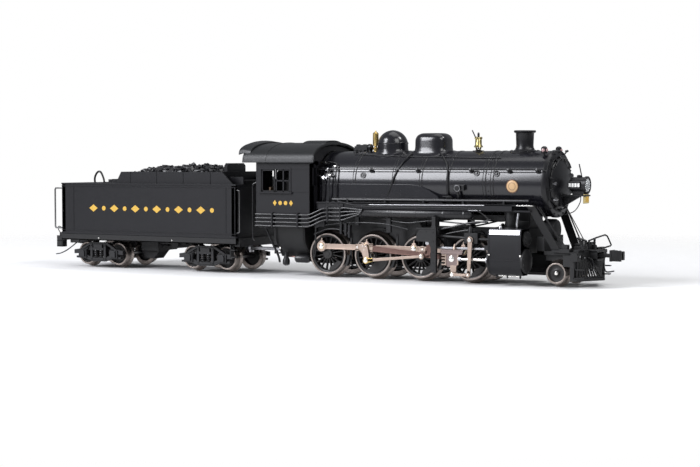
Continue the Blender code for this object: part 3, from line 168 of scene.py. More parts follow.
def block(x, y, z):
    """A box from three (low, high) pairs."""
    x, y, z = sorted(x), sorted(y), sorted(z)
    verts = [(a, b, c) for a in x for b in y for c in z]
    return verts, [(0, 1, 3, 2), (4, 6, 7, 5), (0, 4, 5, 1), (2, 3, 7, 6), (0, 2, 6, 4), (1, 5, 7, 3)]


def tube(rings, closed=False):
    """Joins rings of equal length, with end caps or, if closed, back to the first."""
    count, last = len(rings[0]), len(rings)
    verts = [point for ring in rings for point in ring]
    faces = [] if closed else [tuple(range(count))[::-1], tuple(range(len(verts) - count, len(verts)))]
    for r in range(last if closed else last - 1):
        s = (r + 1) % last
        for i in range(count):
            j = (i + 1) % count
            faces.append((r * count + i, r * count + j, s * count + j, s * count + i))
    return verts, faces


def oriented(normal, u, v, w):
    """A point with coordinates u, v across the named axis and w along it."""
    return {"X": (w, u, v), "Y": (u, w, v), "Z": (u, v, w)}[normal]


def slab(outline, low, high, normal="Y"):
    return tube([[oriented(normal, u, v, w) for u, v in outline] for w in (low, high)])


def circle(centre, radius, sides):
    return [(centre[0] + radius * cos(2 * pi * i / sides), centre[1] + radius * sin(2 * pi * i / sides))
            for i in range(sides)]


def turned(profile, centre, normal="Y", sides=24, closed=False):
    """A round body from (position, radius) pairs along the named axis through the centre."""
    return tube([[oriented(normal, u, v, along) for u, v in circle(centre, max(radius, 0.01), sides)]
                 for along, radius in profile], closed)


def disc(centre, radius, low, high, normal="Y", sides=24):
    return turned([(low, radius), (high, radius)], centre, normal, sides)


def washer(centre, outer, inner, low, high, normal="Y", sides=32):
    return turned([(low, outer), (high, outer), (high, inner), (low, inner)], centre, normal, sides, True)


def pipe(path, radius, sides=8, closed=False):
    """A round pipe along a path."""
    points = [Vector(p) for p in path]
    steps = [(b - a).normalized() for a, b in zip(points, points[1:])]
    across = steps[0].orthogonal().normalized()
    rings = []
    for i, point in enumerate(points):
        before, after = steps[max(i - 1, 0)], steps[min(i, len(steps) - 1)]
        way = (before + after).normalized()
        across = (across - way * across.dot(way)).normalized()
        other = way.cross(across)
        rings.append([tuple(point + across * (radius * cos(2 * pi * k / sides))
                            + other * (radius * sin(2 * pi * k / sides))) for k in range(sides)])
    return tube(rings, closed)


def smooth(path, steps=6):
    """A rounded path through the same points."""
    points = [Vector(p) for p in path]
    points = [points[0] * 2 - points[1]] + points + [points[-1] * 2 - points[-2]]
    out = []
    for a, b, c, d in zip(points, points[1:], points[2:], points[3:]):
        for k in range(steps):
            t = k / steps
            out.append(((b * 2) + (c - a) * t + (a * 2 - b * 5 + c * 4 - d) * t ** 2
                        + (b * 3 - a - c * 3 + d) * t ** 3) / 2)
    return out + [points[-2]]


def bar(start, end, radius, sides=10):
    return pipe([start, end], radius, sides)


def capsule(start, end, start_radius, end_radius, sides=10):
    """The outline of two round ends joined by straight flanks."""
    angle = atan2(end[1] - start[1], end[0] - start[0])
    outline = []
    for centre, radius, first in ((end, end_radius, -pi / 2), (start, start_radius, pi / 2)):
        for i in range(sides + 1):
            turn = angle + first + pi * i / sides
            outline.append((centre[0] + radius * cos(turn), centre[1] + radius * sin(turn)))
    return outline


def strip(start, end, width, end_width=None):
    """The outline of a straight bar, tapered if a second width is given."""
    a, b = Vector(start), Vector(end)
    along = (b - a).normalized()
    side = Vector((-along.y, along.x)) / 2
    near, far = side * width, side * (width if end_width is None else end_width)
    return [tuple(a - near), tuple(b - far), tuple(b + far), tuple(a + near)]


def moved(shape, matrix):
    return [tuple(matrix @ Vector(v)) for v in shape[0]], shape[1]


def mirrored(shapes):
    return [([(x, -y, z) for x, y, z in verts], faces) for verts, faces in shapes]


def both(shapes):
    return list(shapes) + mirrored(shapes)


def on_boiler(x, angle, side=RIGHT, radius=BOILER_R):
    """The frame of a fitting on the boiler: its own z stands out of the boiler's surface."""
    a = radians(angle)
    out = Vector((0, side * cos(a), sin(a)))
    along = Vector((1, 0, 0))
    frame_matrix = Matrix((along, out.cross(along), out)).transposed().to_4x4()
    frame_matrix.translation = Vector((x, 0, BOILER_Z)) + out * radius
    return frame_matrix


def round_boiler(points, side=RIGHT):
    """Path points from (x, angle, radius) triples."""
    return [(x, side * r * cos(radians(a)), BOILER_Z + r * sin(radians(a))) for x, a, r in points]


def rivet(point, normal, radius=0.1):
    """A small domed rivet head; normal is a letter with a sign, such as -Y."""
    sign = -1 if normal[0] == "-" else 1
    centre = {"X": (point[1], point[2]), "Y": (point[0], point[2]), "Z": (point[0], point[1])}[normal[-1]]
    base = point["XYZ".index(normal[-1])]
    profile = [(base - sign * 0.02, radius), (base + sign * radius * 0.45, radius * 0.75),
        (base + sign * radius * 0.7, 0.02)]
    return turned(profile, centre, normal[-1], 6)


def rivets(start, end, count, normal, radius=0.1):
    a, b = Vector(start), Vector(end)
    return [rivet(tuple(a.lerp(b, i / (count - 1))), normal, radius) for i in range(count)]


def bolt(point, normal, radius=0.16, height=0.16):
    sign = -1 if normal[0] == "-" else 1
    centre = {"X": (point[1], point[2]), "Y": (point[0], point[2]), "Z": (point[0], point[1])}[normal[-1]]
    base = point["XYZ".index(normal[-1])]
    return turned([(base - sign * 0.03, radius), (base + sign * height, radius * 0.92)], centre, normal[-1],
        6)


def coil(centre, radius, low, high, turns, wire):
    """An upright coil spring."""
    count = int(turns * 12)
    return pipe([(centre[0] + radius * cos(2 * pi * turns * i / count),
        centre[1] + radius * sin(2 * pi * turns * i / count),
                  low + (high - low) * i / count) for i in range(count + 1)], wire, 5)


class Piece:
    """Shapes with their finishes, gathered into one mesh that moves with a CAD body."""

    def __init__(self, name, body, slot, *stands_for):
        self.name, self.body, self.slot, self.stands_for = name, body, slot, stands_for
        self.verts, self.faces, self.marks, self.finishes = [], [], [], []

    def add(self, material, *shapes):
        if material not in self.finishes:
            self.finishes.append(material)
        mark = self.finishes.index(material)
        for verts, faces in shapes:
            base = len(self.verts)
            self.verts += verts
            self.faces += [tuple(base + i for i in face) for face in faces]
            self.marks += [mark] * len(faces)

    def done(self, bevel=0.05, segments=2, angle=38):
        mesh = bpy.data.meshes.new(self.name)
        mesh.from_pydata([((x + MID_LENGTH_SHIFT) * MM, y * MM, z * MM) for x, y, z in self.verts], [],
            self.faces)
        for material in self.finishes:
            mesh.materials.append(material)
        mesh.polygons.foreach_set("material_index", self.marks)
        shell = bmesh.new()
        shell.from_mesh(mesh)
        bmesh.ops.recalc_face_normals(shell, faces=shell.faces)
        shell.to_mesh(mesh)
        shell.free()
        mesh.shade_smooth()
        mesh.set_sharp_from_angle(angle=radians(angle))
        obj = bpy.data.objects.new(self.name, mesh)
        bpy.context.scene.collection.objects.link(obj)
        if bevel:
            edge = obj.modifiers.new("worn_edges", "BEVEL")
            edge.width = bevel * MM
            edge.segments = segments
            edge.limit_method = "ANGLE"
            edge.angle_limit = radians(angle)
            edge.harden_normals = True
        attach(obj, self.body)
        if self.stands_for:
            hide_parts(*self.stands_for)
        return obj


# ---------------------------------------------------------------- boiler


def boiler():
    """Lagged barrel with its bands, the smokebox ring and the firebox sides."""
    piece = Piece("boiler", "chassis", "boiler_paint", "boiler_shell")
    piece.add(BOILER, turned([(-12.1, BOILER_R), (24.5, BOILER_R), (36.4, BOILER_R)], (0, BOILER_Z), "X",
        96))
    for x in BAND_X:
        piece.add(BOILER, turned([(x - 0.24, BOILER_R + 0.07), (x + 0.24, BOILER_R + 0.07),
            (x + 0.24, BOILER_R - 0.1),
                                  (x - 0.24, BOILER_R - 0.1)], (0, BOILER_Z), "X", 96, True))
        for edge in (x - 0.3, x + 0.3):
            piece.add(UNDER, turned([(edge - 0.09, BOILER_R + 0.05), (edge + 0.09, BOILER_R + 0.05),
                (edge + 0.09, BOILER_R - 0.1),
                                     (edge - 0.09, BOILER_R - 0.1)], (0, BOILER_Z), "X", 96, True))
    jacket = [(-12.0, 12.2), (-12.0, 18.4), (8.6, 18.4), (10.8, 18.1), (12.6, 17.4), (14.6, 16.2),
        (15.8, 14.9), (15.8, 12.6),
              (11.2, 12.2)]
    piece.add(BOILER, *both([slab(jacket, -6.45, -5.2)]))
    piece.add(UNDER, block((-11.8, 11.0), (-5.3, 5.3), (12.0, 14.0)))
    piece.done(0.06)
    detail = Piece("boiler_fittings", "chassis", "boiler_paint")
    for side in SIDES:
        fitted = [(x, 20.5 + lift) for x, lift in ((-2.0, -7.0), (22.8, -2.0), (27.0, -3.0))]
        for x, angle in fitted:
            place = on_boiler(x, angle, side)
            detail.add(TRIM, moved(washer((0, 0), 0.62, 0.42, -0.05, 0.18, "Z", 20), place),
                       moved(disc((0, 0), 0.42, -0.05, 0.06, "Z", 16), place))
            detail.add(TRIM, moved(block((-0.2, 0.2), (-0.2, 0.2), (0.0, 0.26)), place))
        for k in range(9):
            detail.add(TRIM, moved(disc((0, 0), 0.13, -0.02, 0.12, "Z", 6),
                on_boiler(25.3, 62 - 15 * k, side)))
        for x in (-9.4, -6.6, -1.2, 2.4, 6.6):
            detail.add(TRIM, *[rivet((x, side * 6.45, 17.2 - 0.9 * k), "Y" if side > 0 else "-Y", 0.09)
                for k in range(3)])
        # check valve and its pipe, a step, and sand pipes down from the dome
        check = on_boiler(19.4, -7, side)
        detail.add(TRIM, moved(block((-1.15, 1.15), (-0.55, 0.55), (-0.2, 0.75)), check),
                   moved(disc((-0.1, 0), 0.55, 0.6, 1.25, "Z", 14), check))
        detail.add(STEEL, moved(washer((-0.1, 0), 0.62, 0.3, 1.0, 1.2, "Z", 14), check))
        detail.add(TRIM, pipe(smooth(round_boiler([(19.2, -12, 7.1), (19.2, -25, 6.95), (18.6, -38, 6.8)],
            side)), 0.28, 8))
        step = side * 6.3
        detail.add(TRIM, block((16.2, 18.0), (step, side * 7.35), (16.05, 16.25)),
                   slab([(16.4, 16.1), (17.8, 16.1), (17.6, 14.9), (16.6, 14.9)], side * 6.1, side * 6.4))
        for path in ([(13.6, 62, 6.6), (15.0, 48, 6.5), (16.4, 30, 6.5), (16.8, 12, 6.45),
            (16.8, -14, 6.45), (16.9, -34, 6.5)],
                     [(7.4, 62, 6.6), (6.6, 44, 6.5), (5.2, 14, 6.45), (4.6, -2, 6.5), (3.6, -22, 6.9)]):
            detail.add(TRIM, pipe(smooth(round_boiler(path, side)), 0.17, 8))
        detail.add(TRIM, pipe(smooth(round_boiler([(-6.0, 64, 6.5), (0.0, 58, 6.42), (8.0, 54, 6.45),
            (18.0, 52, 6.4),
                                                   (27.0, 50, 6.42)], side)), 0.11, 6))
        # backhead-side piping: injector valves, unions and bent pipes just ahead of the cab
        for k, (x, angle) in enumerate(((-10.9, 34), (-10.0, 22), (-9.2, 12), (-10.8, 8), (-8.4, 27))):
            place = on_boiler(x, angle, side)
            detail.add(STEEL if k % 2 else TRIM, moved(disc((0, 0), 0.36, -0.1, 0.75, "Z", 10), place),
                       moved(block((-0.75, 0.75), (-0.14, 0.14), (0.35, 0.6)), place))
            detail.add(PIN, moved(disc((0, 0), 0.16, 0.7, 1.0, "Z", 8), place))
        for path in ([(-12.4, 24, 6.9), (-10.6, 24, 7.0), (-9.4, 16, 7.0), (-9.3, -4, 7.1),
            (-9.3, -18, 7.4), (-9.6, -33, 7.9)],
                     [(-12.4, 12, 7.0), (-11.4, 10, 7.0), (-10.8, 0, 7.0), (-10.8, -20, 7.4),
                     (-11.0, -32, 8.0)],
                     [(-12.4, 36, 6.8), (-9.6, 37, 6.7), (-8.2, 30, 6.75), (-8.0, 10, 6.9),
                     (-7.9, -20, 7.3), (-8.0, -33, 7.7)]):
            detail.add(TRIM, pipe(smooth(round_boiler(path, side)), 0.16, 8))
        # round number-plate disc on the smokebox, left plain
        disc_place = on_boiler(30.33, -4, side)
        detail.add(PLATE, moved(turned([(-0.25, 1.15), (0.1, 1.15), (0.16, 1.05)], (0, 0), "Z", 40),
            disc_place))
        detail.add(DARK_ROD, moved(washer((0, 0), 1.3, 1.2, -0.25, 0.12, "Z", 40), disc_place),
                   moved(washer((0, 0), 0.72, 0.64, 0.1, 0.19, "Z", 32), disc_place))
    detail.done(0.03)


def boiler_rails():
    """Handrails with their turned stanchions, running on round the smokebox front."""
    for side in SIDES:
        piece = Piece(f"boiler_handrail_{SIDE_NAME[side]}", "chassis", "boiler_paint")
        rail = round_boiler([(-12.3, RAIL_ANGLE, RAIL_R), (36.3, RAIL_ANGLE, RAIL_R),
            (37.15, RAIL_ANGLE, RAIL_R - 0.6)], side)
        piece.add(TRIM, pipe(rail, 0.13, 8))
        for x in STANCHION_X:
            place = on_boiler(x, RAIL_ANGLE, side)
            piece.add(TRIM, moved(turned([(-0.1, 0.55), (0.12, 0.5), (0.25, 0.24), (0.6, 0.22)], (0, 0),
                "Z", 10), place))
            knob = on_boiler(x, RAIL_ANGLE, side, RAIL_R)
            piece.add(TRIM, moved(turned([(-0.32, 0.1), (-0.2, 0.3), (0.05, 0.36), (0.3, 0.2)], (0, 0), "Z",
                10), knob))
        piece.done(0)


def saddle_ring(centre, half_x, half_y, lift=0.12, steps=48, power=1.0):
    """Ring of points on the boiler's round under a fitting's oval foot."""
    ring = []
    for i in range(steps):
        turn = 2 * pi * i / steps
        c, s = cos(turn), sin(turn)
        x = centre + half_x * abs(c) ** power * (1 if c > 0 else -1)
        y = half_y * abs(s) ** power * (1 if s > 0 else -1)
        ring.append((x, y, BOILER_Z + sqrt(max((BOILER_R + lift) ** 2 - y * y, 0))))
    return ring


def dome_shape(centre, levels, power, sunk=-0.5, steps=48):
    """A dome whose foot flares onto the boiler. Levels are (height, half length, half width, share of saddle)."""
    rings = []
    for z, half_x, half_y, share in levels:
        ring = saddle_ring(centre, half_x, half_y, sunk if z is None else 0.1, steps, power)
        if z is not None:
            ring = [(x, y, pz * share + z * (1 - share)) for x, y, pz in ring]
        rings.append(ring)
    return tube(rings)


def domes():
    piece = Piece("steam_dome_cover", "chassis", "boiler_paint", "steam_dome")
    levels = [(None, 4.0, 4.0, 0), (24.9, 4.05, 3.95, 1.0), (24.9, 3.75, 3.65, 1.0),
        (24.95, 3.42, 3.35, 0.8), (25.2, 3.18, 3.15, 0.45),
              (25.5, 3.09, 3.09, 0.1), (26.1, 3.07, 3.07, 0)]
    levels += [(26.1 + 3.0 * sin(radians(a)), 3.07 * cos(radians(a)), 3.07 * cos(radians(a)), 0)
        for a in range(10, 90, 10)]
    levels.append((29.11, 0.12, 0.12, 0))
    piece.add(BOILER, dome_shape(1.35, levels, 1.0))
    piece.add(BOILER, turned([(26.35, 3.09), (26.42, 3.13), (26.56, 3.13), (26.63, 3.09)], (1.35, 0), "Z",
        48))
    piece.done(0)
    piece = Piece("sand_dome_cover", "chassis", "boiler_paint", "sand_dome")
    levels = [(None, 4.5, 3.95, 0), (24.9, 4.55, 3.95, 1.0), (24.9, 4.2, 3.7, 1.0), (25.0, 3.8, 3.35, 0.75),
        (25.3, 3.55, 3.08, 0.4),
              (25.7, 3.47, 2.97, 0.05), (26.9, 3.45, 2.95, 0)]
    levels += [(26.9 + 1.52 * sin(radians(a)), 1.95 + 1.5 * cos(radians(a)), 1.45 + 1.5 * cos(radians(a)),
        0)
               for a in (15, 30, 45, 60, 75, 88)]
    levels += [(28.44, 1.1, 0.8, 0), (28.45, 0.2, 0.15, 0)]
    piece.add(BOILER, dome_shape(10.6, levels, 0.62))
    piece.done(0)


def stack():
    piece = Piece("stack_casting", "chassis", "boiler_paint", "smokestack")
    levels = [(None, 2.9, 2.75, 0), (24.9, 2.95, 2.8, 1.0), (24.9, 2.72, 2.6, 1.0), (25.0, 2.25, 2.2, 0.7),
        (25.2, 1.92, 1.9, 0.35),
              (25.55, 1.72, 1.72, 0.08), (25.9, 1.65, 1.65, 0)]
    levels += [(28.2, 1.74, 1.74, 0), (28.3, 1.8, 1.8, 0), (28.38, 2.02, 2.02, 0), (28.5, 2.1, 2.1, 0),
        (28.7, 2.1, 2.1, 0),
               (28.8, 2.02, 2.02, 0), (28.8, 1.5, 1.5, 0), (28.6, 1.38, 1.38, 0), (26.4, 1.3, 1.3, 0)]
    piece.add(SMOKEBOX, dome_shape(30.1, levels, 1.0))
    piece.add(TRIM, *[bolt((30.1 + 2.5 * cos(a), 2.4 * sin(a),
        BOILER_Z + sqrt((BOILER_R + 0.1) ** 2 - (2.4 * sin(a)) ** 2)), "Z", 0.14, 0.12)
                      for a in [2 * pi * (k + 0.5) / 10 for k in range(10)]])
    piece.done(0)


def smokebox():
    """Front ring with its bolts, the door on two hinges, clamps, rail and lamps' brackets."""
    piece = Piece("smokebox_door", "chassis", "boiler_paint", "smokebox_front")
    z = BOILER_Z
    piece.add(SMOKEBOX, turned([(36.2, 6.42), (36.95, 6.42), (37.15, 6.3), (37.15, 5.75), (37.22, 5.6),
        (37.22, 5.2), (37.22, 3.0)],
                               (0, z), "X", 72),
              turned([(37.1, 4.85), (37.45, 4.85), (37.6, 4.7), (37.8, 4.2), (38.1, 2.9), (38.3, 1.4),
              (38.34, 0.05)], (0, z), "X", 64),
              turned([(37.2, 5.0), (37.34, 5.06), (37.34, 5.2), (37.2, 5.26)], (0, z), "X", 64, True))
    for k in range(18):
        turn = 2 * pi * (k + 0.5) / 18
        piece.add(TRIM, bolt((37.14, 5.95 * cos(turn), z + 5.95 * sin(turn)), "X", 0.17, 0.2))
    for k in range(14):
        turn = 2 * pi * (k + 0.5) / 14
        if abs(sin(turn)) < 0.25 and cos(turn) > 0:
            continue
        way = Vector((0, cos(turn), sin(turn)))
        centre = Vector((0, 0, z))
        clamp = [tuple(centre + way * r + Vector((x, 0, 0))) for x, r in ((37.3, 5.2), (37.75, 4.6))]
        piece.add(TRIM, bar(clamp[0], clamp[1], 0.26, 6))
    for height in (1.5, -1.5):
        piece.add(TRIM, block((37.5, 38.1), (0.8, 5.0), (z + height - 0.28, z + height + 0.28)),
                  turned([(z + height - 0.45, 0.32), (z + height + 0.45, 0.32)], (37.5, 5.15), "Z", 12))
    rail = [(36.9, 4.9 * cos(radians(a)), z + 4.9 * sin(radians(a))) for a in range(38, 143, 7)]
    rail = [(38.0, y, pz) for _, y, pz in rail]
    piece.add(TRIM, pipe(rail, 0.12, 8), *[bar((37.2, 4.9 * cos(radians(a)), z + 4.9 * sin(radians(a))),
                                                (38.02, 4.9 * cos(radians(a)), z + 4.9 * sin(radians(a))),
                                                0.12, 6) for a in (40, 90, 140)])
    # a lamp socket, a step and a lever at the near side of the door
    piece.add(STEEL, disc((-3.6, z + 0.1), 0.34, 37.6, 38.15, "X", 14),
        block((37.7, 37.95), (-4.5, -2.7), (z - 0.05, z + 0.22)),
              bar((38.0, -2.7, z - 2.9), (38.0, -4.3, z - 2.9), 0.2, 8),
              disc((-3.1, z - 2.9), 0.4, 37.4, 38.0, "X", 14))
    piece.done(0.03)
    lamps = Piece("marker_lamps", "chassis", "frame_black")
    for side in SIDES:
        place = on_boiler(35.6, 56, side)
        x, y, top = place.translation
        lamps.add(TRIM, bar((x, y, top - 0.2), (x, y, top + 0.7), 0.16, 8),
                  turned([(top + 0.55, 0.5), (top + 0.65, 0.58), (top + 1.6, 0.58), (top + 1.75, 0.45),
                  (top + 1.9, 0.2)], (x, y), "Z", 16))
        lamps.add(ROSE, turned([(y + side * 0.5, 0.34), (y + side * 0.66, 0.3), (y + side * 0.72, 0.12)],
            (x, top + 1.15), "Y", 14),
                  turned([(x + 0.5, 0.34), (x + 0.66, 0.3), (x + 0.72, 0.12)], (y, top + 1.15), "X", 14))
        lamps.add(TRIM, bar((x + 1.9, y * 0.8, top + 0.9), (x + 1.2, y * 0.9, top + 0.2), 0.14, 6),
                  turned([(x + 1.6, 0.14), (x + 2.1, 0.26), (x + 2.3, 0.1)], (y * 0.8, top + 1.0), "X", 8))
    lamps.done(0.02)


def headlight():
    z = 18.45
    piece = Piece("headlight_case", "chassis", "frame_black", "headlight")
    piece.add(TRIM, turned([(39.4, 0.5), (39.55, 1.1), (40.0, 1.45), (40.3, 1.5), (42.5, 1.5),
        (42.55, 1.66), (43.0, 1.66), (43.0, 1.4),
                            (42.6, 1.32), (42.1, 0.9)], (0, z), "X", 36),
              turned([(z + 1.4, 0.4), (z + 1.8, 0.42), (z + 1.9, 0.2)], (41.2, 0), "Z", 14),
              block((37.6, 43.0), (-1.3, 1.3), (16.35, 16.6)),
              block((40.2, 42.6), (-0.9, 0.9), (16.5, 17.3)),
              slab([(37.6, 14.3), (38.1, 14.3), (41.8, 16.4), (37.6, 16.4)], -0.25, 0.25),
              block((37.5, 38.2), (-1.5, 1.5), (14.4, 17.5)),
              bar((41.6, 0.5, z + 1.3), (41.0, 0.5, 22.4), 0.12, 6))
    for side in SIDES:
        piece.add(TRIM, block((39.6, 42.1), (side * 1.5, side * 1.72), (17.75, 19.15)))
        piece.add(WHITE, *[block((39.8 + 0.58 * k, 40.24 + 0.58 * k), (side * 1.7, side * 1.76),
            (18.1, 18.8)) for k in range(4)])
    piece.add(TRIM, pipe(smooth([(41.9, -0.8, 16.4), (41.9, -1.2, 15.2), (41.0, -1.7, 13.6),
        (39.4, -2.6, 12.9)]), 0.1, 6),
              block((42.2, 42.7), (-0.3, 0.3), (16.2, 16.6)),
              block((42.4, 42.66), (-1.0, 1.0), (15.0, 16.8)))
    piece.add(KEYSTONE, block((42.6, 42.86), (-0.95, 0.95), (15.05, 16.75)))
    piece.add(GILT, block((42.84, 42.94), (-0.62, 0.62), (15.35, 16.45)))
    piece.add(KEYSTONE, *[block((42.5, 42.75), (side * 1.0, side * 1.06), (15.05, 16.75))
        for side in SIDES])
    piece.add(REFLECTOR, turned([(42.15, 0.3), (42.3, 0.7), (42.7, 1.2), (42.8, 1.33), (42.62, 1.33)],
        (0, z), "X", 30))
    piece.done(0.03)
    lens = Piece("headlight_glass", "chassis", "lens", "headlight_lens")
    lens.add(LENS, turned([(42.72, 1.28), (42.9, 1.28), (43.05, 0.95), (43.12, 0.5), (43.14, 0.05)], (0, z),
        "X", 30))
    lens.done(0)


def bell_and_whistle():
    x = 20.3
    piece = Piece("bell_set", "chassis", "gilt", "bell")
    piece.add(TRIM, dome_shape(x, [(None, 1.0, 1.2, 0), (24.9, 1.0, 1.25, 1.0), (24.95, 0.7, 0.9, 0.5),
        (25.15, 0.3, 0.45, 0)], 0.8, steps=20))
    for side in SIDES:
        arm = smooth([(x, side * 0.25, 25.0), (x, side * 0.95, 25.4), (x, side * 1.15, 26.4),
            (x, side * 1.05, 27.35)])
        piece.add(BELL, pipe(arm, 0.16, 8), disc((x, 27.4), 0.27, side * 0.9, side * 1.25, "Y", 12))
    piece.add(BELL, turned([(25.62, 0.05), (25.62, 0.6), (25.6, 0.9), (25.72, 0.88), (26.1, 0.66),
        (26.7, 0.52), (27.1, 0.42), (27.35, 0.22),
                             (27.6, 0.16), (27.8, 0.05)], (x, 0), "Z", 24),
              bar((x, -1.0, 27.4), (x, 1.0, 27.4), 0.14, 8),
              turned([(25.25, 0.1), (25.4, 0.2), (25.6, 0.1)], (x, 0), "Z", 8))
    piece.add(TRIM, bar((x, -1.2, 27.4), (x - 0.7, -1.35, 28.9), 0.12, 6),
        turned([(27.6, 0.2), (28.2, 0.24), (28.5, 0.1)], (x, 0), "Z", 10))
    piece.done(0)
    piece = Piece("whistle_set", "chassis", "gilt", "whistle")
    x = -2.6
    piece.add(BRASS, turned([(24.7, 0.42), (25.3, 0.42), (25.35, 0.6), (25.6, 0.6), (25.7, 0.3),
        (25.95, 0.3), (26.0, 0.56), (26.2, 0.6),
                             (28.5, 0.58), (28.7, 0.4), (28.8, 0.15), (29.05, 0.12)], (x, 0), "Z", 20),
              bar((x, 0, 25.5), (x - 1.6, 0, 25.3), 0.2, 8),
              bar((x - 0.9, 0, 25.4), (x - 1.3, 0, 26.4), 0.12, 6))
    piece.add(TRIM, bar((x - 1.6, 0, 25.3), (x - 2.6, 0, 25.1), 0.32, 8))
    piece.done(0)


def turret():
    """Steam turret ahead of the cab: two boxes, a barrel, caps and hand wheels."""
    piece = Piece("turret", "chassis", "boiler_paint", "safety_valves")
    piece.add(SMOKEBOX, block((-7.05, -6.2), (-0.9, 0.9), (24.0, 25.95)),
        block((-6.3, -4.1), (-0.9, 0.9), (24.0, 26.2)),
              bar((-6.0, -2.6, 24.6), (-6.0, 2.6, 24.6), 0.3, 10),
              turned([(-4.4, 0.5), (-4.1, 0.66), (-3.5, 0.66), (-3.25, 0.45)], (-0.2, 25.7), "X", 16),
              slab([(-4.2, 24.3), (-3.4, 25.2), (-4.2, 25.6)], -0.6, 0.5))
    for x in (-6.6, -5.1):
        piece.add(SMOKEBOX, turned([(25.9, 0.5), (26.2, 0.5), (26.32, 0.3)], (x, 0), "Z", 14))
    for side in SIDES:
        for x in (-6.6, -5.7, -4.8):
            piece.add(SMOKEBOX, disc((x, 24.9), 0.24, side * 0.85, side * 1.4, "Y", 10),
                washer((x, 24.9), 0.38, 0.24, side * 1.3, side * 1.42, "Y", 14))
    piece.done(0.04)


# ---------------------------------------------------------------- cab


def roof_arc(half_width, eave, top, count=40):
    return [(-half_width * cos(pi * i / count), eave + (top - eave) * sin(pi * i / count) ** 0.8)
        for i in range(count + 1)]


